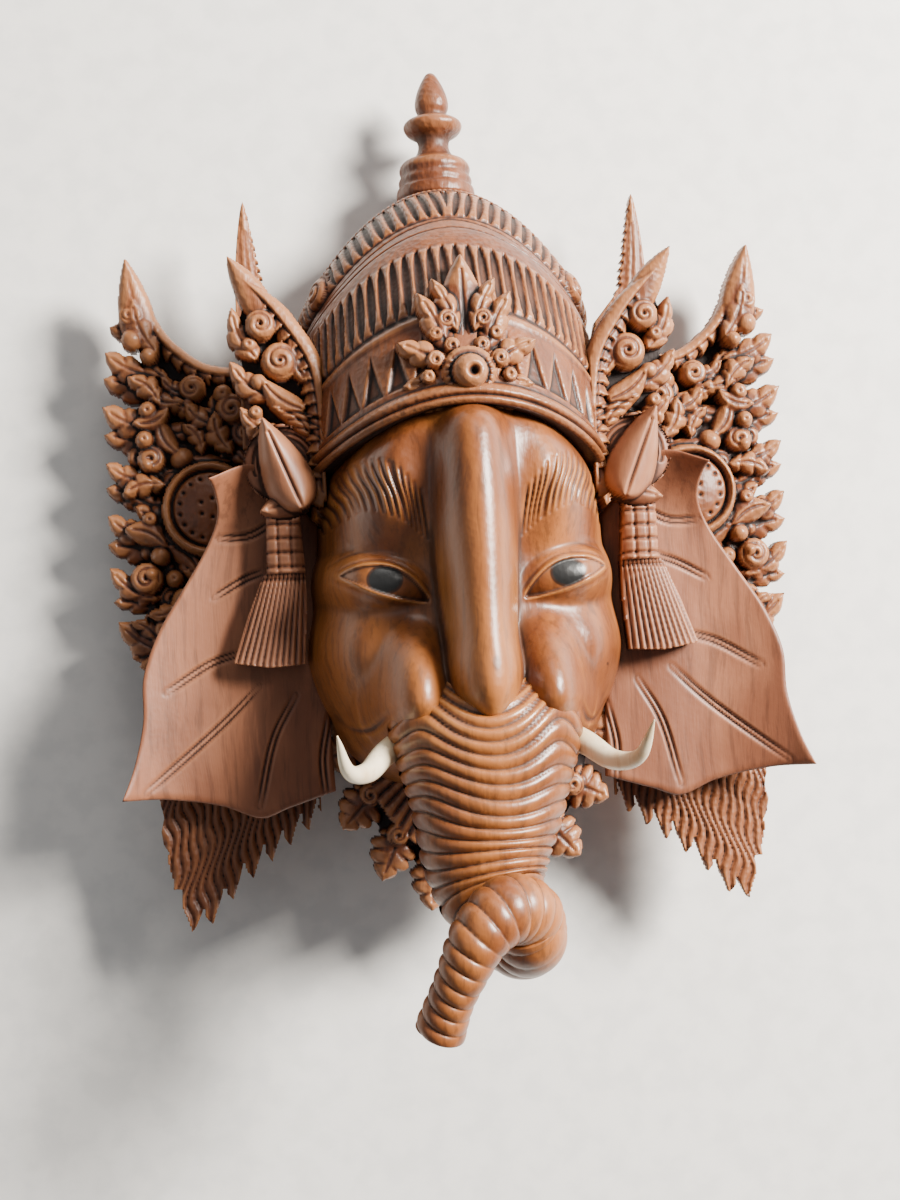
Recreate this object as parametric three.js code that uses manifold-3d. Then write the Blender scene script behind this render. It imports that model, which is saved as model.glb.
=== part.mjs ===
// A carved wooden Ganesha mask with two separate tusks, lying on its back.
// X runs to the viewer's right, Y towards the crown and Z out of the face. The lengths are millimetres.

import * as THREE from "three";
import { mergeVertices } from "three/addons/utils/BufferGeometryUtils.js";
import Module from "manifold-3d";

const wasm = await Module();
wasm.setup();

// Driving dimensions.
const maskHeight = 477; // tip of the finial to the end of the trunk
const wallThickness = 13; // wood between the face and the hollow behind it
const earThickness = 7;
const panelThickness = 15; // the leaf panels behind the ears
const wingThickness = 15; // the upright wings beside the crown
const hairThickness = 9;
const collarThickness = 14;
const tuskRootRadius = 6.2;
const socketClearance = 0.3; // gap all round a tusk in its socket

// The carving is drawn at this height and keeps its proportions when the mask's height changes.
const drawnHeight = 477;
const k = maskHeight / drawnHeight;

// How finely the forms are faceted.
const faceColumns = 20;
const faceRows = 18;

const vec = (x, y, z) => new THREE.Vector3(x, y, z);
const drawn = (x, y, z) => vec(x * k, y * k, z * k);
const clamp = THREE.MathUtils.clamp;
const lerp = THREE.MathUtils.lerp;

// A smooth function through [position, value] pairs, drawn at the drawn height.
function profile(pairs) {
  const slope = (i) => {
    const a = pairs[Math.max(i - 1, 0)];
    const b = pairs[Math.min(i + 1, pairs.length - 1)];
    return (b[1] - a[1]) / (b[0] - a[0]);
  };
  return (position) => {
    const p = clamp(position, pairs[0][0], pairs.at(-1)[0]);
    let i = pairs.findIndex((pair) => pair[0] >= p);
    i = Math.max(i, 1);
    const [x0, y0] = pairs[i - 1];
    const [x1, y1] = pairs[i];
    const h = x1 - x0;
    const t = (p - x0) / h;
    const rise = t * t * (3 - 2 * t);
    return (
      y0 + (y1 - y0) * rise + h * t * (1 - t) * ((1 - t) * slope(i - 1) - t * slope(i))
    );
  };
}

// A smooth line through points on the drawing.
function curve(...points) {
  return new THREE.CatmullRomCurve3(points.map((point) => drawn(...point)));
}

// Height of an oval mound at (x, y) from its centre, 1 at the crest and 0 at the rim.
function mound(x, y, halfWidth, halfHeight, power = 0.5) {
  const inside = 1 - (x / halfWidth) ** 2 - (y / halfHeight) ** 2;
  return inside > 0 ? inside ** power : 0;
}

// A closed solid from a geometry, with double points merged and flat-out faces dropped.
function solid(geometry) {
  const bare = geometry.clone();
  bare.deleteAttribute("normal");
  bare.deleteAttribute("uv");
  const merged = mergeVertices(bare, 1e-4);
  const kept = [];
  const index = merged.index.array;
  for (let i = 0; i < index.length; i += 3) {
    const [a, b, c] = [index[i], index[i + 1], index[i + 2]];
    if (a !== b && b !== c && a !== c) kept.push(a, b, c);
  }
  return new wasm.Manifold(
    new wasm.Mesh({
      numProp: 3,
      vertProperties: new Float32Array(merged.attributes.position.array),
      triVerts: new Uint32Array(kept),
    }),
  );
}

// The same geometry on the other side of the mask.
function mirrored(geometry) {
  const other = geometry.clone().scale(-1, 1, 1);
  const index = other.index.array;
  for (let i = 0; i < index.length; i += 3) {
    [index[i + 1], index[i + 2]] = [index[i + 2], index[i + 1]];
  }
  return other;
}

function geometryOf(positions, index) {
  const geometry = new THREE.BufferGeometry();
  geometry.setAttribute("position", new THREE.Float32BufferAttribute(positions, 3));
  geometry.setIndex(index);
  return geometry;
}

// The closed form with its faces pointing outwards, whichever way round it was drawn.
function facingOut(positions, index) {
  const corner = (i) => new THREE.Vector3().fromArray(positions, index[i] * 3);
  let volume = 0;
  for (let i = 0; i < index.length; i += 3) {
    volume += corner(i).dot(corner(i + 1).cross(corner(i + 2)));
  }
  return geometryOf(positions, volume < 0 ? index.reverse() : index);
}

// A solid between two surfaces given by u (to the right) and v (upwards), from 0 to 1.
function sheet(columns, rows, front, back) {
  const positions = [];
  const index = [];
  for (const surface of [front, back]) {
    for (let j = 0; j <= rows; j++) {
      for (let i = 0; i <= columns; i++) {
        positions.push(...surface(i / columns, j / rows).toArray());
      }
    }
  }
  const layer = (columns + 1) * (rows + 1);
  const at = (side, i, j) => side * layer + j * (columns + 1) + i;
  const quad = (a, b, c, d) => index.push(a, b, c, a, c, d);
  for (let j = 0; j < rows; j++) {
    for (let i = 0; i < columns; i++) {
      quad(at(0, i, j), at(0, i + 1, j), at(0, i + 1, j + 1), at(0, i, j + 1));
      quad(at(1, i, j), at(1, i, j + 1), at(1, i + 1, j + 1), at(1, i + 1, j));
    }
    quad(at(1, 0, j + 1), at(1, 0, j), at(0, 0, j), at(0, 0, j + 1));
    quad(at(1, columns, j), at(1, columns, j + 1), at(0, columns, j + 1), at(0, columns, j));
  }
  for (let i = 0; i < columns; i++) {
    quad(at(1, i, 0), at(1, i + 1, 0), at(0, i + 1, 0), at(0, i, 0));
    quad(at(0, i, rows), at(0, i + 1, rows), at(1, i + 1, rows), at(1, i, rows));
  }
  return geometryOf(positions, index);
}

// A solid of oval sections along a line. section(t) gives its centre and its two half axes.
function loft(steps, sides, section) {
  const positions = [];
  const index = [];
  for (let j = 0; j <= steps; j++) {
    for (let i = 0; i < sides; i++) {
      const turn = (i / sides) * 2 * Math.PI;
      positions.push(...section(j / steps, turn, j).toArray());
    }
  }
  const at = (i, j) => j * sides + (i % sides);
  for (let j = 0; j < steps; j++) {
    for (let i = 0; i < sides; i++) {
      index.push(at(i, j), at(i + 1, j), at(i + 1, j + 1));
      index.push(at(i, j), at(i + 1, j + 1), at(i, j + 1));
    }
  }
  for (const [row, flip] of [[0, true], [steps, false]]) {
    for (let i = 1; i < sides - 1; i++) {
      const [a, b, c] = [at(0, row), at(i, row), at(i + 1, row)];
      index.push(...(flip ? [a, c, b] : [a, b, c]));
    }
  }
  return facingOut(positions, index);
}

// A leaf, lobe or lock: a flattened form from root to tip, bowed to one side, that lifts at its tip.
function leaf({ root, tip, width, thickness, bow = 0, lift = 0, widest = 0.45, steps = 3, sides = 4 }) {
  const start = drawn(...root);
  const end = drawn(...tip);
  const along = end.clone().sub(start);
  const side = vec(-along.y, along.x, 0).normalize();
  return loft(steps, sides, (t, turn) => {
    const bowed = 4 * t * (1 - t) * bow * k;
    const centre = start.clone().addScaledVector(along, t).addScaledVector(side, bowed);
    centre.z += lift * k * t * t;
    const past = (t - widest) / (1.001 - widest);
    const swell = past < 0 ? 0.55 + (0.45 * t) / widest : Math.sqrt(1 - past ** 2);
    centre.addScaledVector(side, -Math.cos(turn) * (width / 2) * k * swell);
    centre.z += Math.sin(turn) * (thickness / 2) * k * Math.max(swell, 0.35);
    return centre;
  });
}

// A ball squashed to three half axes.
function oval(centre, halfAxes, across = 8, down = 5) {
  const ball = new THREE.SphereGeometry(1, across, down);
  const middle = drawn(...centre);
  return ball.scale(...drawn(...halfAxes).toArray()).translate(middle.x, middle.y, middle.z);
}

// The head: half-widths and fronts at each height of the face.
const headHalfWidth = profile([
  [-99, 30], [-88, 50], [-74, 65], [-58, 78], [-42, 84.5], [-28, 87],
  [-8, 83], [14, 79], [36, 77], [56, 73], [72, 62], [88, 44],
]);
const headFront = profile([
  [-99, 74], [-85, 97], [-70, 112], [-50, 125], [-25, 131], [0, 135], [25, 142], [55, 147],
  [76, 143], [88, 132],
]);
const ridgeCrest = profile([
  [-64, 160], [-58, 174], [-44, 179], [-10, 174], [35, 170], [62, 164], [76, 156], [88, 138],
]);
const ridgeHalfWidth = profile([
  [-65, 1], [-61, 9], [-54, 14], [-42, 17], [-25, 15.5], [0, 17], [35, 18.5], [88, 17],
]);
const ridgeDepth = 21;

// The face's own carving, as heights over the drawn plane.
function faceHeight(x, y, ground) {
  const side = Math.abs(x);
  let z = ground;
  z += 6 * mound(side - 46, y - 42, 34, 24, 1); // brow
  z -= 9 * mound(side - 42, y - 6, 32, 19, 1); // eye socket
  z -= 5 * mound(side - 24, y + 6, 12, 16, 1); // inner corner of the eye
  z += 14 * mound(side - 60, y + 36, 30, 36, 0.8); // cheek
  z = Math.max(z, 128 + 40 * mound(side - 30, y + 44, 17, 27)); // lobe beside the trunk's root
  const half = ridgeHalfWidth(y);
  if (side < half) z = Math.max(z, ridgeCrest(y) - ridgeDepth * (1 - Math.sqrt(1 - (side / half) ** 2)));
  return z;
}

// The face's surface at a place on the drawing.
function faceZ(x, y) {
  const depth = (1 - clamp(x / headHalfWidth(y), -1, 1) ** 2) ** 0.36;
  return depth < 0.02 ? 0 : faceHeight(x, y, headFront(y) * depth);
}

function head() {
  const [low, high] = [-99, 88];
  const front = (u, v) => {
    const y = lerp(low, high, v);
    const across = 2 * u - 1;
    const x = headHalfWidth(y) * (0.45 * across + 0.55 * Math.sin((across * Math.PI) / 2));
    return drawn(x, y, faceZ(x, y));
  };
  const back = (u, v) => front(u, v).setZ(0);
  return sheet(faceColumns, faceRows, front, back);
}

// The crown's tiers from the forehead band upwards: centre height, sag at the sides, front and half-width.
const crownTiers = [
  { y: 82, sag: 26, z: 151, half: 75 },
  { y: 94, sag: 27, z: 148, half: 77 },
  { y: 128, sag: 34, z: 134, half: 77 },
  { y: 170, sag: 42, z: 107, half: 76 },
  { y: 186, sag: 50, z: 90, half: 75 },
  { y: 208, sag: 55, z: 66, half: 74 },
  { y: 213, sag: 56, z: 40, half: 72 },
];
const crownEdge = 26; // where the crown's sides turn down to the back

// A point on the crown: across from -1 to 1, tier as a number that may lie between two tiers.
function crownPoint(across, tier, proud = 0) {
  const i = clamp(Math.floor(tier), 0, crownTiers.length - 2);
  const t = tier - i;
  const mix = (key) => lerp(crownTiers[i][key], crownTiers[i + 1][key], t);
  const turn = (across * Math.PI) / 2;
  const reach = Math.sin(turn);
  const rise = Math.cos(turn) ** 0.72;
  return drawn(
    (mix("half") + proud * Math.abs(reach)) * reach,
    mix("y") - mix("sag") * reach ** 2,
    lerp(crownEdge, mix("z"), rise) + proud * rise,
  );
}

function crownBody() {
  const last = crownTiers.length - 1;
  const front = (u, v) => crownPoint(2 * u - 1, v * last);
  return sheet(12, last, front, (u, v) => front(u, v).setZ(0));
}

// A raised band on the crown between two tiers, with ribs across it.
function crownBand({ from, to, ribs, rows = 1, height, foot = -4, reach = 0.94, shape }) {
  const columns = ribs * 2;
  const place = (u, v, proud) => crownPoint(lerp(-reach, reach, u), lerp(from, to, v), proud);
  const front = (u, v) => place(u, v, shape(Math.round(u * columns) % 2, v) * height);
  return sheet(columns, rows, front, (u, v) => place(u, v, foot));
}

const roundedBand = (rib, v) => (v === 0.5 ? 1 : 0.5);

// The finial: a pointed bud in a cup, on a neck and two rings.
function finial() {
  const outline = [
    [0, 205], [20, 205], [20, 224], [18.5, 228], [19, 230], [17, 234], [10, 237], [8.2, 241],
    [9.5, 246], [14.5, 249], [15.4, 252.5], [14, 256], [8.6, 257.5], [8.8, 265], [7, 274],
    [3.4, 281], [0, 283],
  ];
  const points = outline.map(([r, y]) => new THREE.Vector2(r * k, y * k));
  return new THREE.LatheGeometry(points, 12).translate(0, 0, 31 * k);
}

// The jewelled flower at the front of the crown.
function crownFlower() {
  const forms = [
    oval([0, 97, 150], [12, 13, 12], 10, 6),
    leaf({ root: [0, 112, 140], tip: [0, 154, 120], width: 26, thickness: 20, widest: 0.3, lift: 6 }),
  ];
  const petals = [
    { root: [10, 108, 140], tip: [22, 134, 138], width: 13, bow: -3 },
    { root: [10, 100, 141], tip: [31, 112, 138], width: 13, bow: -3 },
    { root: [8, 92, 143], tip: [29, 92, 139], width: 12, bow: 2 },
    { root: [5, 118, 134], tip: [14, 141, 128], width: 10, bow: -2 },
  ];
  for (const petal of petals) {
    const right = leaf({ thickness: 12, lift: 5, ...petal });
    forms.push(right, mirrored(right));
  }
  return forms;
}

// The trunk hangs down to a bulge, and its tip comes over the bulge towards the lower left.
const trunkLine = curve(
  [0, -44, 134], [0, -70, 140], [-1, -98, 143], [-3, -124, 144],
  [-1, -142, 147], [5, -153, 156], [7, -154, 168],
);
const tipLine = curve(
  [15, -160, 164], [10, -148, 178], [-1, -145, 189], [-13, -154, 195],
  [-21, -169, 194], [-27, -183, 189], [-31, -195, 184],
);
const trunkHalfWidth = profile([
  [0, 40], [0.18, 44.5], [0.27, 42.5], [0.45, 36], [0.63, 30], [0.75, 26], [0.88, 21], [1, 17],
]);
const trunkHalfDepth = profile([
  [0, 27], [0.18, 31], [0.32, 30], [0.46, 28], [0.6, 26], [0.74, 23], [0.88, 19], [1, 16],
]);
const tipRadius = profile([[0, 14], [0.3, 15], [0.55, 12.5], [0.8, 10], [1, 10.5]]);
const trunkRings = 12;
const tipRings = 8;
const ringDepth = 1.3;

// How far a fold rises or dips around the trunk's root, where the folds run in a wave below the lobes.
function foldWave(x, t) {
  const fade = clamp(1 - t / 0.6, 0, 1);
  const side = Math.abs(x);
  return fade * (17 * Math.exp(-(((side - 33) / 15) ** 2)) - 7 * Math.exp(-((side / 17) ** 2)));
}

// A ringed tube with oval sections along a line.
function ringedTube(line, rings, sides, halfWidth, halfDepth, wave) {
  const steps = rings * 2;
  const frames = line.computeFrenetFrames(steps, false);
  return loft(steps, sides, (t, turn, j) => {
    const ring = ringDepth * (j % 2 === 0 ? -1 : 1);
    const across = -Math.cos(turn) * (halfWidth(t) + ring);
    const forward = Math.sin(turn) * (halfDepth(t) + ring);
    const rise = Math.sin(turn) > -0.3 ? wave(across, t) : 0;
    return line
      .getPointAt(t)
      .addScaledVector(frames.normals[j], across * k)
      .addScaledVector(frames.binormals[j], forward * k)
      .addScaledVector(frames.tangents[j], -rise * k);
  });
}

function trunk() {
  return [
    ringedTube(trunkLine, trunkRings, 10, trunkHalfWidth, trunkHalfDepth, foldWave),
    ringedTube(tipLine, tipRings, 8, tipRadius, tipRadius, () => 0),
    oval([4, -160, 164], [18, 17, 20], 8, 6),
  ];
}

// An ear's edges at each height, from the lower lobe to the fold at the top.
const earOuter = profile([
  [-96, 172], [-80, 166], [-58, 161], [-36, 160], [-14, 152], [6, 140], [24, 129],
  [42, 120.5], [56, 119], [70, 119],
]);
const earInner = profile([[-110, 66], [-60, 62], [0, 62], [70, 66]]);
const earLow = profile([[60, -96], [88, -104], [102, -108], [122, -101], [150, -96], [172, -95]]);
const earFlare = profile([[60, 70], [95, 76], [130, 78], [160, 84], [175, 94]]);

const earTop = profile([[0, 36], [0.35, 58], [0.6, 71], [1, 67]]);
const earFold = 24; // how far the folded top comes forwards

function earPoint(u, v, depth) {
  const y = lerp(earLow(lerp(62, 172, u)), earTop(u), v);
  const x = lerp(earInner(y), earOuter(y), u);
  const fold = earFold * clamp((v - 0.78) / 0.22, 0, 1) ** 2 * u;
  const dish = 5 * Math.sin(Math.PI * u) * (1 - v);
  const point = drawn(x, y, earFlare(x) - dish + fold);
  point.z -= depth;
  return point;
}

function ear() {
  return sheet(4, 7, (u, v) => earPoint(u, v, 0), (u, v) => earPoint(u, v, earThickness));
}

// The tassel that hangs over each ear: a knot of rings and a fringe that widens downwards.
function tassel() {
  const strands = 7;
  const top = { y: 12, inner: 79, outer: 100 };
  const low = { y: -31, inner: 81, outer: 116 };
  const fringe = (u, v, proud) => {
    const inner = lerp(low.inner, top.inner, v);
    const outer = lerp(low.outer, top.outer, v);
    return drawn(lerp(inner, outer, u), lerp(low.y, top.y, v), 84 + proud);
  };
  const rib = (u) => (Math.round(u * strands * 2) % 2 ? 6.5 : 4.5);
  const skirt = sheet(strands * 2, 1, (u, v) => fringe(u, v, rib(u)), (u, v) => fringe(u, v, -14));
  const knot = sheet(
    1,
    4,
    (u, v) => drawn(lerp(80, 98 - 5 * v, u), lerp(11, 44, v), 89 + (Math.round(v * 4) % 2 ? 3 : 0)),
    (u, v) => drawn(lerp(80, 98 - 5 * v, u), lerp(11, 44, v), 70),
  );
  return [skirt, knot];
}

// The flower bud over each tassel, with the rim of petals behind it.
function bud() {
  const centre = [88, 66, 92];
  const rim = (radius, thick) =>
    loft(6, 4, (t, turn) => {
      const angle = lerp(-0.25, 1.2, t) * Math.PI;
      const reach = radius - thick * Math.cos(turn);
      return drawn(
        centre[0] + reach * Math.cos(angle),
        centre[1] + 4 + reach * 1.15 * Math.sin(angle),
        84 + thick * 1.6 * Math.sin(turn),
      );
    });
  return [
    leaf({
      root: [79, 46, 94],
      tip: [96, 84, 100],
      width: 21,
      thickness: 26,
      bow: 2,
      lift: 4,
      sides: 6,
      steps: 4,
    }),
    rim(17, 2.4),
    oval([88, 70, 78], [16, 18, 12], 8, 6),
    leaf({ root: [78, 47, 84], tip: [96, 42, 86], width: 7, thickness: 10, bow: -3 }),
  ];
}

// A flat board cut to a smooth outline.
function board(outline, thickness, front) {
  const shape = new THREE.Shape();
  const points = outline.map(([x, y]) => new THREE.Vector2(x * k, y * k));
  shape.moveTo(points[0].x, points[0].y);
  for (const point of points.slice(1)) shape.lineTo(point.x, point.y);
  const geometry = new THREE.ExtrudeGeometry(shape, { depth: thickness, bevelEnabled: false });
  geometry.translate(0, 0, front * k - thickness);
  return mergeVertices(strip(geometry), 1e-4);
}

function strip(geometry) {
  geometry.deleteAttribute("normal");
  geometry.deleteAttribute("uv");
  return geometry;
}

// The upright wing beside the crown, with its notched rim and scrolls.
function wing() {
  const outline = [
    [60, 52], [60, 80], [60, 100], [68, 118], [78, 134], [94, 150], [111, 162],
    [109, 148], [105, 136], [107, 120], [103, 104], [104, 88], [98, 70], [90, 54],
  ];
  const forms = [board(outline, wingThickness, 84)];
  const scrolls = [
    { root: [86, 88, 84], tip: [101, 112, 88], width: 18, thickness: 14, bow: 4 },
    { root: [86, 112, 84], tip: [102, 136, 88], width: 14, thickness: 14, bow: -3 },
  ];
  for (const scroll of scrolls) forms.push(leaf({ lift: 3, ...scroll }));
  const rim = curve([65, 66, 84], [65, 98, 86], [72, 120, 86], [83, 137, 86], [97, 152, 85]);
  forms.push(
    loft(6, 4, (t, turn, j) => {
      const girth = (j % 2 ? 4.2 : 3.2) * k;
      return rim.getPointAt(t).add(vec(Math.cos(turn) * girth, 0, Math.sin(turn) * girth * 1.5));
    }),
  );
  return forms;
}

// The slender spike that stands behind each wing.
function spike() {
  return [
    board([[68, 90], [80, 142], [93, 158], [103, 152], [108, 110], [108, 80]], 14, 50),
    leaf({
      root: [98, 130, 43],
      tip: [103, 207, 45],
      width: 15,
      thickness: 12,
      bow: -3,
      widest: 0.25,
      steps: 4,
    }),
  ];
}

// The leaf panel: a board whose edge and face are covered with leaves.
const panelEdge = profile([[-34, 160], [0, 170], [40, 171], [90, 171], [130, 169], [165, 163]]);

function panel() {
  const outline = [
    [70, -34], [150, -34], [162, -10], [165, 30], [166, 80], [164, 130], [162, 160],
    [156, 150], [146, 136], [130, 123], [110, 118], [70, 120],
  ];
  const forms = [board(outline, panelThickness, 30)];
  forms.push(leaf({ root: [156, 128, 24], tip: [165, 178, 27], width: 22, thickness: 14, widest: 0.35 }));
  const edgeLeaves = 6;
  for (let i = 0; i < edgeLeaves; i++) {
    const y = lerp(-14, 128, i / (edgeLeaves - 1));
    const x = panelEdge(y);
    forms.push(
      leaf({
        root: [x - 18, y - 10, 27],
        tip: [x + 9, y + 10, 29],
        width: 30,
        thickness: 16,
        widest: 0.6,
        bow: 3,
        lift: 3,
      }),
    );
  }
  const scrolls = 2;
  for (let i = 0; i < scrolls; i++) {
    const x = lerp(124, 144, i / (scrolls - 1));
    const y = lerp(88, 128, i / (scrolls - 1));
    const root = [x - 10, y - 12, 31];
    forms.push(leaf({ root, tip: [x + 2, y + 16, 38], width: 19, thickness: 16, bow: 4 }));
  }
  const boss = new THREE.CylinderGeometry(24 * k, 26 * k, 26 * k, 10).rotateX(Math.PI / 2);
  forms.push(boss.translate(126 * k, 50 * k, 42 * k), oval([126, 50, 55], [15, 15, 7]));
  return forms;
}

// The locks of hair that fan out from behind the ear.
function hair() {
  const plate = [[76, -20], [76, -104], [92, -112], [116, -126], [138, -136], [154, -128], [158, -20]];
  const forms = [board(plate, hairThickness, 54)];
  const tips = profile([[0, -110], [0.2, -121], [0.5, -140], [0.82, -164], [0.92, -146], [1, -122]]);
  const locks = 6;
  for (let i = 0; i < locks; i++) {
    const t = i / (locks - 1);
    const x = lerp(80, 153, t);
    const tip = [x + 5 * t - 1, tips(t), 54];
    forms.push(leaf({ root: [x, -84, 53], tip, width: 19, thickness: 11, bow: 3, steps: 2 }));
  }
  for (const y of [-78, -50]) {
    const root = [140, y - 6, 53];
    forms.push(leaf({ root, tip: [173, y - 4, 54], width: 24, thickness: 10, bow: 3, steps: 2 }));
  }
  return forms;
}

// The collar below the chin: a fluted band with a border of leaves.
const collarCentre = [0, -62];
const collarReach = [75, 98];

function collarPoint(u, radius, z) {
  const angle = lerp(-0.98, -0.02, u) * Math.PI;
  const x = collarCentre[0] + collarReach[0] * radius * Math.cos(angle);
  return drawn(x, collarCentre[1] + collarReach[1] * radius * Math.sin(angle), z);
}

function collar() {
  const flutes = 11;
  const rib = (u) => (Math.round(u * flutes * 2) % 2 ? 2 : 0);
  const forms = [
    sheet(
      flutes * 2,
      1,
      (u, v) => collarPoint(u, lerp(0.88, 0.5, v), 66 + rib(u) + 6 * v),
      (u, v) => collarPoint(u, lerp(0.88, 0.5, v), 66).setZ(66 * k - collarThickness),
    ),
  ];
  const leaves = 8;
  for (let i = 0; i < leaves; i++) {
    const angle = lerp(-0.93, -0.07, i / (leaves - 1)) * Math.PI;
    const reach = (radius, z) => [
      collarCentre[0] + collarReach[0] * radius * Math.cos(angle),
      collarCentre[1] + collarReach[1] * radius * Math.sin(angle),
      z,
    ];
    const [root, tip] = [reach(0.78, 62), reach(1.03, 66)];
    forms.push(leaf({ root, tip, width: 22, thickness: 13, lift: 4, steps: 2 }));
  }
  return forms;
}

// A tusk: a horn that curves outwards, forwards and up from its root.
const tuskLine = curve([38, -70, 128], [46, -76, 141], [56, -84, 156], [65, -82, 172], [69.5, -66, 186]);
const tuskRootTangent = tuskLine.getTangentAt(0);

function tusk(grow = 0) {
  const frames = tuskLine.computeFrenetFrames(8, false);
  return loft(8, 10, (t, turn, j) => {
    const radius = tuskRootRadius * Math.sqrt(Math.max(1 - t ** 1.7, 0.02)) + grow;
    return tuskLine
      .getPointAt(t)
      .addScaledVector(frames.normals[j], -Math.cos(turn) * radius)
      .addScaledVector(frames.binormals[j], Math.sin(turn) * radius)
      .addScaledVector(tuskRootTangent, -grow);
  });
}

// The eyes, with a lid over each, and the hairs of each brow.
function eye() {
  const forms = [oval([44.5, 4, 128], [20, 10.5, 13])];
  const lid = curve([22, -7, 131], [33, 11, 138], [46, 16.5, 138], [58, 14, 130], [68, 9, 118]);
  forms.push(
    loft(6, 4, (t, turn) => {
      const swell = (1 + 1.6 * Math.sin(Math.PI * t)) * k;
      return lid.getPointAt(t).add(vec(0, Math.sin(turn) * swell, -Math.cos(turn) * swell * 1.6));
    }),
  );
  const hairs = 4;
  for (let i = 0; i < hairs; i++) {
    const t = i / (hairs - 1);
    const x = lerp(26, 62, t);
    const low = lerp(26, 36, Math.sin(Math.PI * t * 0.8));
    forms.push(
      leaf({
        root: [x, low, faceZ(x, low) - 0.5],
        tip: [x + 4, low + 18, faceZ(x + 4, low + 18) - 0.5],
        width: 4.5,
        thickness: 6,
        bow: 2,
        sides: 4,
      }),
    );
  }
  return forms;
}

// The hollow behind the face and crown, which keeps the wall's thickness from the outer form.
const crownHollowHalfWidth = profile([[56, 73], [110, 73], [140, 66], [164, 48]]);
const hollowFront = profile([
  [-84, 88], [-60, 116], [-25, 128], [25, 134], [60, 137], [100, 132], [130, 114], [164, 84],
]);

function hollow() {
  const [low, high] = [-84, 164];
  const reach = (y) => (y < 56 ? headHalfWidth(y) : crownHollowHalfWidth(y)) * k - wallThickness;
  const place = (u, v, depth) => {
    const y = lerp(low, high, v);
    const turn = (u - 0.5) * Math.PI;
    return vec(reach(y) * Math.sin(turn), y * k, depth(y, Math.cos(turn) ** 0.72));
  };
  return sheet(
    8,
    8,
    (u, v) => place(u, v, (y, rise) => (hollowFront(y) * k - wallThickness) * rise),
    (u, v) => place(u, v, () => -1),
  );
}

function both(forms) {
  return forms.flatMap((form) => [form, mirrored(form)]);
}

function woodSolid() {
  const forms = [
    head(),
    crownBody(),
    crownBand({ from: -0.02, to: 0.9, ribs: 9, height: 4, rows: 2, reach: 0.97, shape: roundedBand }),
    crownBand({ from: 2.05, to: 2.95, ribs: 16, height: 2.2, shape: (rib) => rib }),
    crownBand({ from: 4.1, to: 4.95, ribs: 13, height: 3.4, shape: (rib) => 0.3 + rib }),
    finial(),
    ...crownFlower(),
    ...trunk(),
    ...both([ear(), ...tassel(), ...bud(), ...wing(), ...spike(), ...panel(), ...hair(), ...eye()]),
    ...collar(),
  ];
  let wood = solid(forms[0]);
  for (const form of forms.slice(1)) wood = wood.add(solid(form));
  wood = wood.subtract(solid(hollow()));
  for (const socket of both([tusk(socketClearance)])) wood = wood.subtract(solid(socket));
  return wood;
}

function geometryOfSolid(manifold) {
  const mesh = manifold.getMesh();
  const positions = [];
  for (let i = 0; i < mesh.vertProperties.length; i += mesh.numProp) {
    positions.push(mesh.vertProperties[i], mesh.vertProperties[i + 1], mesh.vertProperties[i + 2]);
  }
  return geometryOf(positions, [...mesh.triVerts]);
}

const woodMaterial = new THREE.MeshStandardMaterial({ color: 0x7a4626, roughness: 0.45, metalness: 0 });
const boneMaterial = new THREE.MeshStandardMaterial({ color: 0xe9dfbf, roughness: 0.35, metalness: 0 });

const mask = new THREE.Mesh(geometryOfSolid(woodSolid()), woodMaterial);
mask.name = "mask";
const leftTusk = new THREE.Mesh(mirrored(tusk()), boneMaterial);
leftTusk.name = "tusk_left";
const rightTusk = new THREE.Mesh(tusk(), boneMaterial);
rightTusk.name = "tusk_right";

const group = new THREE.Group();
group.add(mask, leftTusk, rightTusk);

// The origin is the middle of the mask's footprint, on the plane that it lies on.
const size = new THREE.Box3().setFromObject(group);
group.position.set(-(size.min.x + size.max.x) / 2, -(size.min.y + size.max.y) / 2, -size.min.z);

export default group;
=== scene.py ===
import math

import bmesh
import bpy
import numpy as np
from mathutils import Matrix, Vector


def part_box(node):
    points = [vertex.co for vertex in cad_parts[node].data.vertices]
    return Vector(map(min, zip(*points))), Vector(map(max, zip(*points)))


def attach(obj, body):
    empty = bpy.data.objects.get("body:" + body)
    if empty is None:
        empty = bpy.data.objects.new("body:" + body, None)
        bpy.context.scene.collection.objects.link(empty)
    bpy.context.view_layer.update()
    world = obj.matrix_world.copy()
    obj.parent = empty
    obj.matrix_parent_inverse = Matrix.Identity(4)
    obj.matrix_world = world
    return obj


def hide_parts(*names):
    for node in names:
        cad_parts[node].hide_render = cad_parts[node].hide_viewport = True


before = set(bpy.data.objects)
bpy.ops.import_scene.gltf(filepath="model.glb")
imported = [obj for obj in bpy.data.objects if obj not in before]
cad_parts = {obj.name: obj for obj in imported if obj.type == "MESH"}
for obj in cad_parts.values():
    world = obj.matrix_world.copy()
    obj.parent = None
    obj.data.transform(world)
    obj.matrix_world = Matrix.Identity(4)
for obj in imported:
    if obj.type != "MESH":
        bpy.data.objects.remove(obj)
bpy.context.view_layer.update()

scene = bpy.context.scene
print("frame loaded")

# everything is drawn in mm with x to the right, y towards the finial and z out of the face
finialTip = 283
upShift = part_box("mask")[1][1] - finialTip / 1000


def toFrame(x, y, z):
    return Vector((x / 1000, y / 1000 + upShift, z / 1000))


# curves and fields


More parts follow.
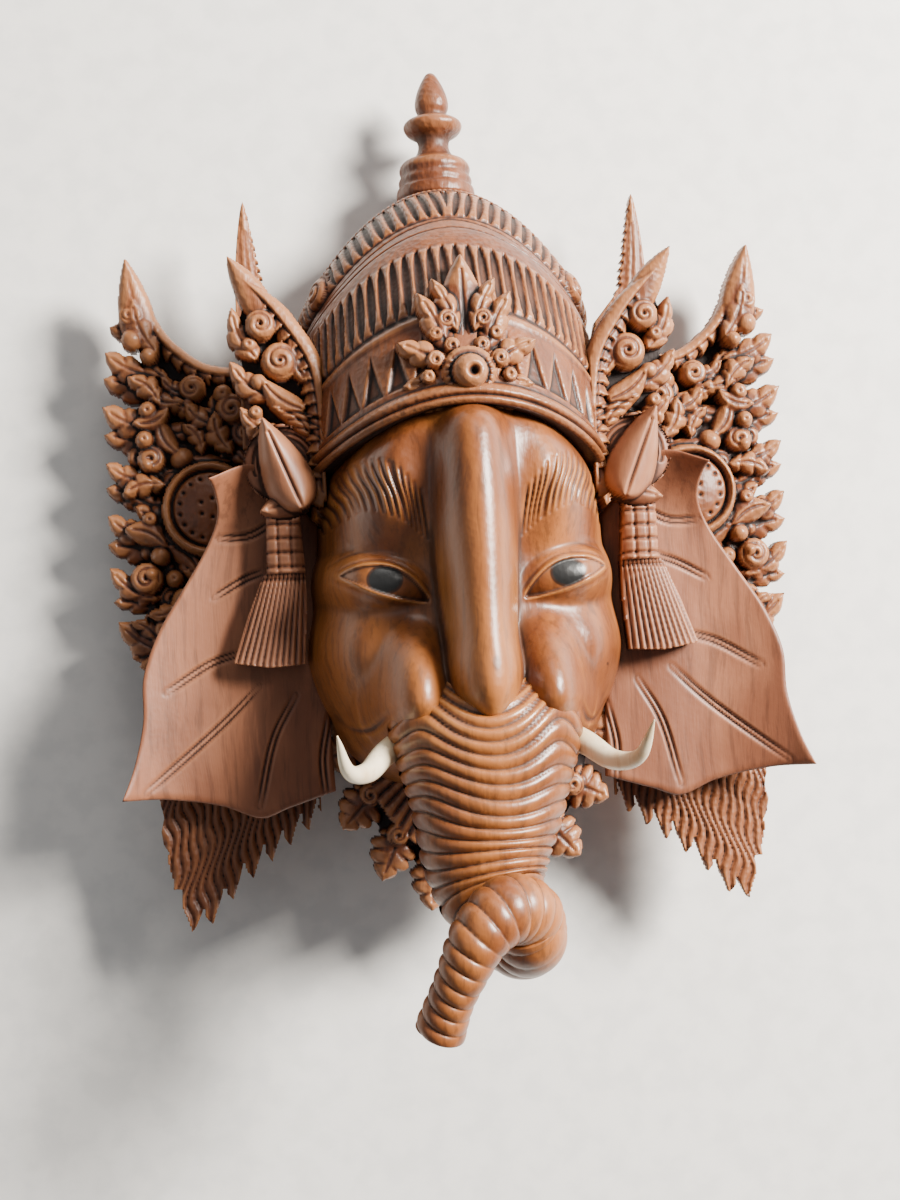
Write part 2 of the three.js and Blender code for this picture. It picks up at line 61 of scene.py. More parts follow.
def through(*pairs):
    xs, ys = np.array(pairs, float).T
    before = np.maximum(np.arange(len(xs)) - 1, 0)
    after = np.minimum(np.arange(len(xs)) + 1, len(xs) - 1)
    slopes = (ys[after] - ys[before]) / (xs[after] - xs[before])

    def at(p):
        p = np.clip(p, xs[0], xs[-1])
        i = np.clip(np.searchsorted(xs, p), 1, len(xs) - 1)
        h = xs[i] - xs[i - 1]
        t = (p - xs[i - 1]) / h
        rise = t * t * (3 - 2 * t)
        bend = (1 - t) * slopes[i - 1] - t * slopes[i]
        return ys[i - 1] + (ys[i] - ys[i - 1]) * rise + h * t * (1 - t) * bend

    return at


def lerp(a, b, t):
    return a + (b - a) * t


def smoothStep(low, high, value):
    t = np.clip((value - low) / (high - low), 0, 1)
    return t * t * (3 - 2 * t)


def softMax(a, b, reach):
    return 0.5 * (a + b + np.sqrt((a - b) ** 2 + reach * reach))


def mound(x, y, halfWidth, halfHeight, power=0.5):
    return np.clip(1 - (x / halfWidth) ** 2 - (y / halfHeight) ** 2, 0, 1) ** power


def groove(distance, width):
    return np.exp(-((distance / width) ** 2))


def smoothLine(points, steps=12):
    pts = np.array(points, float)
    ends = np.vstack([2 * pts[0] - pts[1], pts, 2 * pts[-1] - pts[-2]])
    line = []
    for i in range(1, len(ends) - 2):
        for t in np.arange(steps) / steps:
            a, b, c, d = ends[i - 1 : i + 3]
            point = 2 * b + (c - a) * t
            point = point + (2 * a - 5 * b + 4 * c - d) * t**2
            point = point + (3 * b - a - 3 * c + d) * t**3
            line.append(0.5 * point)
    return np.array(line + [pts[-1]])


def lineDistance(x, y, line):
    # distance to the line, how far along it, and which side
    best = np.full(x.shape, 1e9)
    along = np.zeros(x.shape)
    side = np.zeros(x.shape)
    reach = np.concatenate([[0], np.cumsum(np.hypot(*np.diff(line[:, :2], axis=0).T))])
    for i in range(len(line) - 1):
        ax, ay = line[i, :2]
        bx, by = line[i + 1, :2]
        dx, dy = bx - ax, by - ay
        t = np.clip(((x - ax) * dx + (y - ay) * dy) / (dx * dx + dy * dy + 1e-9), 0, 1)
        ex, ey = x - ax - t * dx, y - ay - t * dy
        d = np.hypot(ex, ey)
        closer = d < best
        best = np.where(closer, d, best)
        along = np.where(closer, (reach[i] + t * (reach[i + 1] - reach[i])) / reach[-1], along)
        side = np.where(closer, np.sign(dx * ey - dy * ex), side)
    return best, along, side


def insidePolygon(x, y, outline):
    # distance to the outline, positive inside
    pts = np.array(outline, float)
    closed = np.vstack([pts, pts[:1]])
    best = lineDistance(x, y, closed)[0]
    inside = np.zeros(x.shape, bool)
    for (ax, ay), (bx, by) in zip(closed[:-1], closed[1:]):
        crosses = (ay > y) != (by > y)
        inside ^= crosses & (x < (bx - ax) * (y - ay) / (by - ay + 1e-12) + ax)
    return np.where(inside, best, -best)


def softened(field, reach):
    for axis in (0, 1):
        pad = [(reach + 1, reach) if a == axis else (0, 0) for a in (0, 1)]
        total = np.cumsum(np.pad(field, pad, mode="edge"), axis=axis)
        count = field.shape[axis]
        high = np.take(total, np.arange(2 * reach + 1, 2 * reach + 1 + count), axis=axis)
        field = (high - np.take(total, np.arange(count), axis=axis)) / (2 * reach + 1)
    return field


def reliefOf(height, columns, rows, cell, depth=1.6, broad=0.45):
    # 0 in the cuts, 1 on the crests, 0.5 on plain wood
    field = height.reshape(rows + 1, columns + 1)
    near = field - softened(field, max(1, round(1.6 / cell)))
    # the broad term darkens wide hollows as painted shade and lightens broad rises as painted highlight
    wide = field - softened(field, max(2, round(6 / cell)))
    return np.clip(0.5 + near / depth + broad * wide / (depth * 2), 0, 1).ravel()


# pieces


def newGrid(columns, rows):
    bm = bmesh.new()
    bmesh.ops.create_grid(bm, x_segments=columns, y_segments=rows, size=0.5)
    flat = np.array([v.co[:2] for v in bm.verts]) + 0.5
    return bm, flat[:, 0], flat[:, 1]


def moveVerts(bm, x, y, z, relief=None):
    for v, px, py, pz in zip(bm.verts, x, y, z):
        v.co = (px, py, pz)
    layer = bm.verts.layers.float.get("relief") or bm.verts.layers.float.new("relief")
    values = np.full(len(bm.verts), 0.5) if relief is None else relief
    for v, value in zip(bm.verts, values):
        v[layer] = value


def finishPiece(bm, name, material, node, mirrored=False):
    for v in bm.verts:
        v.co = toFrame(-v.co.x if mirrored else v.co.x, v.co.y, v.co.z)
    bmesh.ops.recalc_face_normals(bm, faces=bm.faces)
    mesh = bpy.data.meshes.new(name)
    bm.to_mesh(mesh)
    bm.free()
    mesh.polygons.foreach_set("use_smooth", np.ones(len(mesh.polygons), bool))
    mesh.materials.append(material)
    piece = bpy.data.objects.new(name, mesh)
    scene.collection.objects.link(piece)
    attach(piece, "root")
    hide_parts(node)
    return piece


def woodPiece(bm, name, material, bothSides=False):
    if bothSides:
        finishPiece(bm.copy(), name + "Left", material, "mask", mirrored=True)
        name += "Right"
    return finishPiece(bm, name, material, "mask")


# materials


def newGroup(name, inputs, outputs):
    group = bpy.data.node_groups.new(name, "ShaderNodeTree")
    for label, kind, value in inputs:
        made = group.interface.new_socket(label, in_out="INPUT", socket_type=kind)
        if value is not None:
            made.default_value = value
    for label, kind in outputs:
        group.interface.new_socket(label, in_out="OUTPUT", socket_type=kind)
    return group, group.nodes.new("NodeGroupInput"), group.nodes.new("NodeGroupOutput")


def addNode(tree, kind, **values):
    node = tree.nodes.new(kind)
    for key, value in values.items():
        if hasattr(node, key):
            setattr(node, key, value)
        else:
            node.inputs[key].default_value = value
    return node


def mathNode(tree, operation, a, b=None, clamp=False):
    node = addNode(tree, "ShaderNodeMath", operation=operation, use_clamp=clamp)
    for i, value in enumerate([a, b]):
        if isinstance(value, (int, float)):
            node.inputs[i].default_value = value
        elif value is not None:
            tree.links.new(value, node.inputs[i])
    return node.outputs[0]


def rangeNode(tree, value, low, high, toLow=0.0, toHigh=1.0):
    node = addNode(tree, "ShaderNodeMapRange", interpolation_type="SMOOTHSTEP")
    for i, number in enumerate([low, high, toLow, toHigh]):
        node.inputs[i + 1].default_value = number
    tree.links.new(value, node.inputs[0])
    return node.outputs[0]


def mixColor(tree, factor, a, b, blend="MIX"):
    node = addNode(tree, "ShaderNodeMix", data_type="RGBA", blend_type=blend)
    for socket, value in zip((node.inputs[0], node.inputs[6], node.inputs[7]), (factor, a, b)):
        if isinstance(value, (int, float)):
            socket.default_value = value
        elif isinstance(value, tuple):
            socket.default_value = (*value, 1)
        else:
            tree.links.new(value, socket)
    return node.outputs[2]


def buildGrainGroup():
    # long streaks up the block, broad figure across it and short pores
    group, enter, leave = newGroup(
        "woodGrain",
        [
            ("Vector", "NodeSocketVector", None),
            ("Scale", "NodeSocketFloat", 1.0),
            ("Wander", "NodeSocketFloat", 0.02),
        ],
        [(label, "NodeSocketFloat") for label in ("Streak", "Figure", "Pores", "Facets")],
    )
    link = group.links.new
    scaled = addNode(group, "ShaderNodeVectorMath", operation="SCALE")
    link(enter.outputs["Vector"], scaled.inputs[0])
    link(enter.outputs["Scale"], scaled.inputs["Scale"])
    drift = addNode(group, "ShaderNodeTexNoise", Scale=9.0, Detail=2.0)
    link(scaled.outputs[0], drift.inputs["Vector"])
    pull = addNode(group, "ShaderNodeVectorMath", operation="SCALE")
    link(drift.outputs["Color"], pull.inputs[0])
    link(enter.outputs["Wander"], pull.inputs["Scale"])
    bent = addNode(group, "ShaderNodeVectorMath", operation="ADD")
    link(scaled.outputs[0], bent.inputs[0])
    link(pull.outputs[0], bent.inputs[1])
    for label, stretch, scale, detail, rough in [
        ("Streak", (1, 0.07, 1), 260.0, 5.0, 0.62),
        ("Figure", (1, 0.35, 1), 26.0, 4.0, 0.55),
        ("Pores", (1, 0.05, 1), 1500.0, 2.0, 0.5),
    ]:
        along = addNode(group, "ShaderNodeMapping")
        along.inputs["Scale"].default_value = stretch
        link(bent.outputs[0], along.inputs["Vector"])
        noise = addNode(group, "ShaderNodeTexNoise", Scale=scale, Detail=detail, Roughness=rough)
        link(along.outputs[0], noise.inputs["Vector"])
        link(noise.outputs["Fac"], leave.inputs[label])
    knife = addNode(group, "ShaderNodeTexVoronoi", feature="SMOOTH_F1", Scale=330.0, Smoothness=0.35)
    link(bent.outputs[0], knife.inputs["Vector"])
    link(knife.outputs["Distance"], leave.inputs["Facets"])
    return group


def buildCarvedToneGroup():
    # the cuts are stained darker and get painted shade, the crests are worn lighter and get a painted highlight
    group, enter, leave = newGroup(
        "carvedTone",
        [
            ("Relief", "NodeSocketFloat", 0.5),
            ("Streak", "NodeSocketFloat", 0.5),
            ("Figure", "NodeSocketFloat", 0.5),
            ("Body", "NodeSocketColor", (0.3, 0.13, 0.06, 1)),
            ("Warm", "NodeSocketColor", (0.4, 0.19, 0.07, 1)),
            ("Stain And Shade", "NodeSocketColor", (0.03, 0.012, 0.007, 1)),
            ("Wear And Highlight", "NodeSocketColor", (0.55, 0.3, 0.15, 1)),
            ("Stain And Shade Amount", "NodeSocketFloat", 1.0),
            ("Wear And Highlight Amount", "NodeSocketFloat", 0.6),
            ("Streak Amount", "NodeSocketFloat", 0.4),
        ],
        [("Color", "NodeSocketColor"), ("Cut", "NodeSocketFloat"), ("Crest", "NodeSocketFloat")],
    )
    out = enter.outputs
    cut = rangeNode(group, out["Relief"], 0.5, 0.06)
    crest = rangeNode(group, out["Relief"], 0.54, 0.9)
    figure = rangeNode(group, out["Figure"], 0.38, 0.64)
    tone = mixColor(group, figure, out["Body"], out["Warm"])
    lines = rangeNode(group, out["Streak"], 0.52, 0.36)
    lines = mathNode(group, "MULTIPLY", lines, out["Streak Amount"])
    tone = mixColor(group, lines, tone, mixColor(group, 0.75, tone, out["Stain And Shade"]))
    # painted highlight with wear on the crests, then painted shade over the stained cuts
    tone = mixColor(group, mathNode(group, "MULTIPLY", crest, out["Wear And Highlight Amount"]), tone, out["Wear And Highlight"])
    tone = mixColor(group, mathNode(group, "MULTIPLY", cut, out["Stain And Shade Amount"]), tone, out["Stain And Shade"])
    group.links.new(tone, leave.inputs["Color"])
    group.links.new(cut, leave.inputs["Cut"])
    group.links.new(crest, leave.inputs["Crest"])
    return group


grainGroup = buildGrainGroup()
toneGroup = buildCarvedToneGroup()


def woodMaterial(name, look):
    material = bpy.data.materials.new(name)
    material.use_nodes = True
    tree = material.node_tree
    link = tree.links.new
    shader = tree.nodes["Principled BSDF"]
    place = addNode(tree, "ShaderNodeTexCoord")
    shift = addNode(tree, "ShaderNodeMapping")
    shift.inputs["Location"].default_value = look["offset"]
    link(place.outputs["Object"], shift.inputs["Vector"])
    grain = addNode(tree, "ShaderNodeGroup", node_tree=grainGroup)
    grain.inputs["Scale"].default_value = look["grain scale"]
    link(shift.outputs[0], grain.inputs["Vector"])
    relief = addNode(tree, "ShaderNodeAttribute", attribute_name="relief")
    tone = addNode(tree, "ShaderNodeGroup", node_tree=toneGroup)
    for label in ("Body", "Warm", "Stain And Shade", "Wear And Highlight"):
        tone.inputs[label].default_value = (*look[label.lower()], 1)
    tone.inputs["Stain And Shade Amount"].default_value = look["stain and shade amount"]
    tone.inputs["Wear And Highlight Amount"].default_value = look["wear and highlight amount"]
    tone.inputs["Streak Amount"].default_value = look["streak amount"]
    link(relief.outputs["Fac"], tone.inputs["Relief"])
    link(grain.outputs["Streak"], tone.inputs["Streak"])
    link(grain.outputs["Figure"], tone.inputs["Figure"])
    color = tone.outputs["Color"]
    for mark in look.get("marks", []):
        color = addMark(tree, place.outputs["Object"], color, mark)
    link(color, shader.inputs["Base Color"])
    polished, worn = look["roughness"] - 0.06, look["roughness"] + 0.08
    rough = rangeNode(tree, grain.outputs["Figure"], 0.3, 0.7, polished, worn)
    dull = mathNode(tree, "MULTIPLY", tone.outputs["Cut"], 0.3)
    shine = mathNode(tree, "MULTIPLY", tone.outputs["Crest"], -0.08)
    rough = mathNode(tree, "ADD", mathNode(tree, "ADD", rough, dull), shine, clamp=True)
    link(rough, shader.inputs["Roughness"])
    shader.inputs["Specular IOR Level"].default_value = look["specular"]
    shader.inputs["Coat Weight"].default_value = look["coat"]
    shader.inputs["Coat Roughness"].default_value = look["coat roughness"]
    fine = mathNode(tree, "MULTIPLY", grain.outputs["Streak"], 0.5)
    fine = mathNode(tree, "ADD", fine, mathNode(tree, "MULTIPLY", grain.outputs["Pores"], 0.35))
    fine = mathNode(tree, "ADD", fine, mathNode(tree, "MULTIPLY", grain.outputs["Facets"], look["tool marks"]))
    bump = addNode(tree, "ShaderNodeBump", Strength=look["bump"], Distance=0.0006)
    link(fine, bump.inputs["Height"])
    link(bump.outputs[0], shader.inputs["Normal"])
    return material


def addMark(tree, place, color, mark):
    # a painted or stained round spot at a point of the drawing, kept to one attribute if named
    apart = addNode(tree, "ShaderNodeSeparateXYZ")
    tree.links.new(place, apart.inputs[0])
    cx, cy = mark["centre"]
    centre = toFrame(cx, cy, 0)
    side = apart.outputs[0] if not mark.get("both") else mathNode(tree, "ABSOLUTE", apart.outputs[0])
    width, height = mark["size"]
    dx = mathNode(tree, "DIVIDE", mathNode(tree, "SUBTRACT", side, centre.x), width / 1000)
    dy = mathNode(tree, "DIVIDE", mathNode(tree, "SUBTRACT", apart.outputs[1], centre.y), height / 1000)
    square = mathNode(tree, "ADD", mathNode(tree, "MULTIPLY", dx, dx), mathNode(tree, "MULTIPLY", dy, dy))
    spot = rangeNode(tree, square, 1 + mark["soft"], 1 - mark["soft"], 0, mark["strength"])
    if mark.get("within"):
        held = addNode(tree, "ShaderNodeAttribute", attribute_name=mark["within"])
        spot = mathNode(tree, "MULTIPLY", spot, held.outputs["Fac"])
    return mixColor(tree, spot, color, mark["color"])


plainLook = {
    "offset": (0, 0, 0),
    "grain scale": 1.0,
    "body": (0.108, 0.03, 0.0105),
    "warm": (0.19, 0.06, 0.02),
    "stain and shade": (0.009, 0.003, 0.002),
    "wear and highlight": (0.33, 0.135, 0.052),
    "stain and shade amount": 0.95,
    "wear and highlight amount": 0.55,
    "streak amount": 0.45,
    "roughness": 0.44,
    "specular": 0.36,
    "coat": 0.1,
    "coat roughness": 0.3,
    "bump": 0.55,
    "tool marks": 1.1,
}
irisPlace = {"centre": (43, 3.6), "both": True, "within": "eye"}
faceMarks = [
    # the iris over its dark surround, a knot on the bulb and a pinhole on the right cheek
    irisPlace | {"size": (8.6, 7.0), "soft": 0.12, "strength": 0.9, "color": (0.012, 0.006, 0.004)},
    irisPlace | {"size": (7.4, 5.9), "soft": 0.14, "strength": 1.0, "color": (0.009, 0.009, 0.009)},
    {"centre": (2, -38), "size": (1.8, 3.4), "soft": 0.7, "strength": 0.55, "color": (0.03, 0.012, 0.008)},
    {"centre": (64, -40), "size": (0.8, 0.8), "soft": 0.4, "strength": 0.9, "color": (0.01, 0.004, 0.003)},
]
faceWood = woodMaterial(
    "polishedFaceWood",
    plainLook
    | {
        "body": (0.14, 0.039, 0.01),
        "warm": (0.27, 0.088, 0.019),
        "wear and highlight": (0.41, 0.165, 0.042),
        "stain and shade amount": 0.7,
        "roughness": 0.37,
        "specular": 0.42,
        "coat": 0.2,
        "coat roughness": 0.28,
        "bump": 0.22,
        "tool marks": 0.9,
        "marks": faceMarks,
    },
)
crownWood = woodMaterial("crownWood", plainLook | {"offset": (0.3, 0.1, 0), "roughness": 0.38})
leafWood = woodMaterial(
    "leafCarvingWood",
    plainLook | {"offset": (0.7, 0, 0.2), "roughness": 0.46, "stain and shade amount": 1.0, "wear and highlight amount": 0.75},
)
earWood = woodMaterial(
    "paleEarWood",
    plainLook
    | {
        "offset": (0, 0.6, 0.4),
        "body": (0.155, 0.052, 0.024),
        "warm": (0.25, 0.093, 0.044),
        "wear and highlight": (0.37, 0.16, 0.08),
        "roughness": 0.5,
        "coat": 0.06,
        "streak amount": 0.4,
        "bump": 0.35,
        "tool marks": 0.25,
        "stain and shade amount": 0.85,
    },
)
print("materials made")

# the face

faceDetail = {
    "columns": 270,
    "rows": 250,
    "low": -99,
    "high": 88,
    "brow hairs": 17,
    "hair depth": 2.1,
    "lid height": 2.4,
    "upper lid": 9.6,  # the eye's opening above the line between its corners, and below it
    "lower lid": -3,
    "ridge depth": 50,
    "chin rows": 0.02,  # the share of the grid that closes the chin's underside
    "wall": 13,
    "hollow": (-84, 86),  # its lowest and highest y
}
headHalfWidth = through(
    (-99, 30), (-88, 50), (-74, 65), (-58, 78), (-42, 84.5), (-28, 87),
    (-8, 83), (14, 79), (36, 77), (56, 73), (72, 62), (88, 44),
)
headFront = through(
    (-99, 74), (-85, 97), (-70, 112), (-50, 124), (-25, 131),
    (0, 135), (25, 141), (55, 146), (76, 143), (88, 132),
)
ridgeCrest = through(
    (-66, 156), (-60, 172), (-46, 179.5), (-10, 174), (35, 170), (62, 165), (76, 158), (88, 138)
)
ridgeHalfWidth = through(
    (-66, 1), (-62, 8), (-55, 14), (-42, 17), (-25, 15.5), (0, 17), (35, 18.5), (88, 17)
)


def headDepth(x, y):
    q = np.clip(np.abs(x) / headHalfWidth(y), 0, 1)
    return (1 - q**3.2) ** 0.46


eyeCorners = (23, -7), (63, 7)


def eyeOutline():
    (ax, ay), (bx, by) = eyeCorners
    length = math.hypot(bx - ax, by - ay)
    t = np.linspace(0, 1, 25)
    bow = np.sin(np.pi * t) ** 0.8
    points = []
    for rise in (faceDetail["upper lid"], faceDetail["lower lid"]):
        x = lerp(ax, bx, t) - rise * bow * (by - ay) / length
        y = lerp(ay, by, t) + rise * bow * (bx - ax) / length
        points.append(list(zip(x, y)))
    return points[0] + points[1][-2:0:-1]


def eyeBall(side, y):
    bulge = 137 - 8 * ((side - 42) / 23) ** 2 - 7 * ((y - 3) / 12) ** 2
    return bulge - 9 * np.maximum((side - 50) / 13, 0) ** 2  # the outer corner turns back with the cheek


browLow = smoothLine([(22, 22), (34, 31), (51, 37), (69, 31)], 10)
browHigh = smoothLine([(25, 44), (41, 59), (59, 58), (75, 43)], 10)


def faceSurface(x, y):
    side = np.abs(x)
    body = headDepth(x, y)
    z = headFront(y) * body
    # brow, forehead groove, socket and cheek
    z = z + body * 6 * mound(side - 46, y - 62, 40, 36, 2)
    z = z + body * 5 * mound(side - 46, y - 38, 44, 30, 2)
    z = z - 2.5 * groove(side - 25, 9) * smoothStep(-12, 10, y) * smoothStep(84, 60, y)
    z = z - body * 4.5 * mound(side - 42, y - 5, 44, 32, 2)
    z = z + body * 15 * np.exp(-(((side - 62) / 21) ** 2) - ((y + 36) / 26) ** 2)
    # eye
    near = (side < 100) & (np.abs(y - 4) < 40)
    gap = np.full(side.shape, 40.0)
    gap[near] = -insidePolygon(side[near], y[near], eyeOutline())
    outside = np.maximum(gap, 0)
    (ax, ay), (bx, by) = eyeCorners
    lean = ((y - ay) * (bx - ax) - (side - ax) * (by - ay)) / math.hypot(bx - ax, by - ay)
    over, under = smoothStep(1, 5, lean), smoothStep(0, -3, lean)
    ball = eyeBall(side, y)
    lid = ball + faceDetail["lid height"] - 0.85 * outside
    lid -= 1.2 * groove(outside - 2.8, 0.65) * over + 1.2 * groove(outside - 7.6, 0.9) * over
    lid -= 0.7 * groove(outside - 3.4, 1.1) * under
    z = softMax(z, lid, 6)
    inEye = smoothStep(0.7, -0.5, gap)
    z = lerp(z, ball, inEye)
    # brow hairs fan up and outwards
    for i in range(faceDetail["brow hairs"]):
        k = i / (faceDetail["brow hairs"] - 1)
        low, high = (ends[round(k * (len(ends) - 1))] for ends in (browLow, browHigh))
        bend = np.array([0.55 * min(1, 2.5 * k), 0.0])
        stroke = [low, lerp(low, high, 0.35) - bend, lerp(low, high, 0.7) + bend, high]
        middle = (low + high) / 2
        near = (np.abs(side - middle[0]) < 13) & (np.abs(y - middle[1]) < 22)
        d, along, _ = lineDistance(side[near], y[near], smoothLine(stroke, 5))
        depth = faceDetail["hair depth"] * (1 + smoothStep(48, 72, side[near]))
        z[near] -= depth * groove(d, 0.75) * np.sin(np.pi * np.clip(along, 0.04, 0.96)) ** 0.4
    # a lobe beside the ridge, falling away outside its own rim
    within = 1 - ((side - 30) / 28) ** 2 - ((y + 53) / np.where(y < -53, 30, 50)) ** 2
    lobe = 112 + 53 * np.maximum(within, 0) ** 1.25 + 45 * np.minimum(within, 0)
    z = softMax(z, lobe, 8)
    # the ridge down to its bulb
    half = ridgeHalfWidth(y) + 2.5
    q = np.clip(side / half, 0, 1)
    ridge = ridgeCrest(y) - faceDetail["ridge depth"] * (1 - np.sqrt(1 - q * q))
    ridge = ridge - 7 * np.maximum(side - half, 0)
    z = softMax(z, np.where(y > -66, np.maximum(ridge, 0), 0), lerp(4, 9, smoothStep(-50, -5, y)))
    # the crease at the corner of the mouth
    d, along, _ = lineDistance(side, y, smoothLine([(44, -58), (52, -66), (61, -65), (69, -57)], 6))
    z = z - 3.2 * groove(d, 1.6) * np.sin(np.pi * np.clip(along, 0.03, 0.97)) ** 0.6
    return np.where(body < 0.04, headFront(y) * body, z), inEye


hollowFront = through(
    (-84, 88), (-60, 116), (-25, 126), (25, 132), (60, 136), (100, 132), (130, 114), (164, 84)
)


def joinInner(bm, outer, made):
    # bridges the carved shell's rim to the rim of the plain shell behind it
    own = set(made)
    inner = [e for e in bm.edges if e.is_boundary and e.verts[0] in own]
    bmesh.ops.bridge_loops(bm, edges=outer + inner)


def addHollow(bm):
    # the plain hollow behind the carved face, joined to it all round and open into the crown
    outer = [e for e in bm.edges if e.is_boundary]
    made = bmesh.ops.create_grid(bm, x_segments=40, y_segments=36, size=0.5)["verts"]
    flat = np.array([v.co[:2] for v in made]) + 0.5
    lid = np.clip(flat[:, 1] / 0.06, 0, 1)  # its lowest rows close the chin
    y = lerp(*faceDetail["hollow"], np.clip((flat[:, 1] - 0.06) / 0.94, 0, 1))
    half = np.maximum(headHalfWidth(y) - faceDetail["wall"], 30)
    across = np.sin((flat[:, 0] - 0.5) * np.pi)
    z = (hollowFront(y) - faceDetail["wall"]) * (1 - across**2) ** 0.36 * lid
    layer = bm.verts.layers.float["relief"]
    for vert, px, py, pz in zip(made, half * across, y, z):
        vert.co = (px, py, pz)
        vert[layer] = 0.5
    joinInner(bm, outer, made)


def makeFace():
    bm, u, v = newGrid(faceDetail["columns"], faceDetail["rows"])
    chin = faceDetail["chin rows"]
    wall = np.clip(v / chin, 0, 1)
    y = lerp(faceDetail["low"], faceDetail["high"], np.clip((v - chin) / (1 - chin), 0, 1))
    across = 2 * u - 1
    x = headHalfWidth(y) * (0.45 * across + 0.55 * np.sin(across * np.pi / 2))
    z, inEye = faceSurface(x, y)
    relief = reliefOf(z, faceDetail["columns"], faceDetail["rows"], 0.7, 2.3, 0.15)
    steep = np.clip((np.abs(across) - 0.9) / 0.05, 0, 1)
    relief = lerp(relief, 0.5, np.maximum(steep, v < 0.03))
    # the dark line round the eye is painted shade in the crease between lid and ball
    relief = relief - 0.42 * np.sqrt(4 * inEye * (1 - inEye))  # a dark line round the eye
    moveVerts(bm, x, y, z * wall, relief)
    eye = bm.verts.layers.float.new("eye")
    for vert, value in zip(bm.verts, inEye):
        vert[eye] = value
    addHollow(bm)
    woodPiece(bm, "face", faceWood)


makeFace()
print("face carved")

# the trunk

trunkDetail = {
    "grid": (150, 280),
    "roll grid": (80, 130),
    "tip grid": (76, 240),
    "ring pitch": 6.1,
    "ring depth": 2.3,
    "tip ring pitch": 6.6,
    "tip ring depth": 1.7,
}
trunkPath = [
    (0, -44, 134), (0, -70, 140), (-1, -98, 143), (-3, -124, 144),
    (-1, -142, 147), (5, -153, 156), (7, -154, 168),
]
rollPath = [(-4, -136, 146), (2, -153, 148), (9, -161, 157), (12, -159, 169), (9, -151, 178)]
tipPath = [
    (15, -160, 164), (10, -148, 178), (-1, -145, 189), (-13, -154, 195),
    (-21, -169, 194), (-27, -183, 189), (-31, -195, 184),
]
# half sizes by the share of the path's length
trunkHalfWidth = through(
    (0, 40), (0.18, 44.5), (0.27, 42.5), (0.45, 36), (0.63, 30), (0.75, 26), (0.88, 21), (1, 17)
)
trunkHalfDepth = through(
    (0, 14), (0.07, 22), (0.18, 31), (0.32, 30), (0.46, 28), (0.6, 26), (0.74, 23), (0.88, 19), (1, 16)
)
rollRadius = through((0, 16), (0.3, 18), (0.6, 18), (1, 14))
tipRadius = through((0, 14), (0.3, 15), (0.55, 12.5), (0.8, 10), (1, 11))


def tubeGrid(path, columns, rows, halfWidth, halfDepth, ringField, endCap=0.03):
    # a grid rolled into a tube along the path, closed at both ends
    bm, u, v = newGrid(columns, rows)
    line = smoothLine(path, 24)
    steps = np.linalg.norm(np.diff(line, axis=0), axis=1)
    reach = np.concatenate([[0], np.cumsum(steps)])

    def pointsAt(distance):
        distance = np.clip(distance, 0, reach[-1])
        return np.array([np.interp(distance, reach, line[:, i]) for i in range(3)]).T

    t = np.clip((v - endCap) / (1 - 2 * endCap), 0, 1)
    rowReach = t.reshape(rows + 1, columns + 1)[:, 0] * reach[-1]
    centres = pointsAt(rowReach)
    forward = pointsAt(rowReach + 1.5) - pointsAt(rowReach - 1.5)
    forward /= np.linalg.norm(forward, axis=1)[:, None]
    sides = np.zeros_like(forward)
    side = np.array([1.0, 0, 0])
    for i, f in enumerate(forward):
        side = side - f * side.dot(f)
        side /= np.linalg.norm(side)
        sides[i] = side
    fronts = np.cross(forward, sides)
    turn = u * 2 * np.pi
    row = np.repeat(np.arange(rows + 1), columns + 1)
    ring = ringField(turn, t, t * reach[-1], halfWidth(t) * -np.cos(turn))
    cap = np.sqrt(np.clip(1 - np.clip(np.abs(v - 0.5) * 2 - (1 - 2 * endCap), 0, 1) / (2 * endCap), 0, 1))
    a = (-np.cos(turn) * (halfWidth(t) + ring) * cap)[:, None]
    b = (np.sin(turn) * (halfDepth(t) + ring) * cap)[:, None]
    points = centres[row] + sides[row] * a + fronts[row] * b
    relief = reliefOf(ring, columns, rows, 1.0, 1.7)
    moveVerts(bm, *points.T, relief)
    bmesh.ops.remove_doubles(bm, verts=bm.verts, dist=0.002)
    return bm


def ringShape(phase):
    cell = phase % 1
    return np.sin(np.pi * cell**0.85) ** 0.55


def trunkRings(turn, t, reach, x):
    side = np.abs(x)
    fade = np.clip(1 - reach / 76, 0, 1)
    wave = fade * (17 * groove(side - 33, 15) - 7 * groove(side, 17))
    wave += 1.1 * np.sin(2.3 * turn + reach * 0.11) * smoothStep(0, 30, reach)
    phase = (reach + wave) / trunkDetail["ring pitch"]
    faceOn = smoothStep(-0.75, 0.1, np.sin(turn))
    return trunkDetail["ring depth"] * (ringShape(phase) - 0.6) * lerp(0.2, 1, faceOn)


def tipRings(turn, t, reach, x):
    phase = (reach + 1.6 * np.sin(turn + 0.6)) / trunkDetail["tip ring pitch"]
    faceOn = smoothStep(-0.9, 0, np.sin(turn))
    return trunkDetail["tip ring depth"] * (ringShape(phase) - 0.6) * lerp(0.35, 1, faceOn)


def rollRings(turn, t, reach, x):
    return tipRings(turn, t, reach, x) * 0.7


trunk = tubeGrid(trunkPath, *trunkDetail["grid"], trunkHalfWidth, trunkHalfDepth, trunkRings)
woodPiece(trunk, "trunk", faceWood)
roll = tubeGrid(rollPath, *trunkDetail["roll grid"], rollRadius, rollRadius, rollRings)
woodPiece(roll, "trunkRoll", faceWood)
tip = tubeGrid(tipPath, *trunkDetail["tip grid"], tipRadius, tipRadius, tipRings, 0.02)
woodPiece(tip, "trunkTip", faceWood)
print("trunk carved")

# the crown

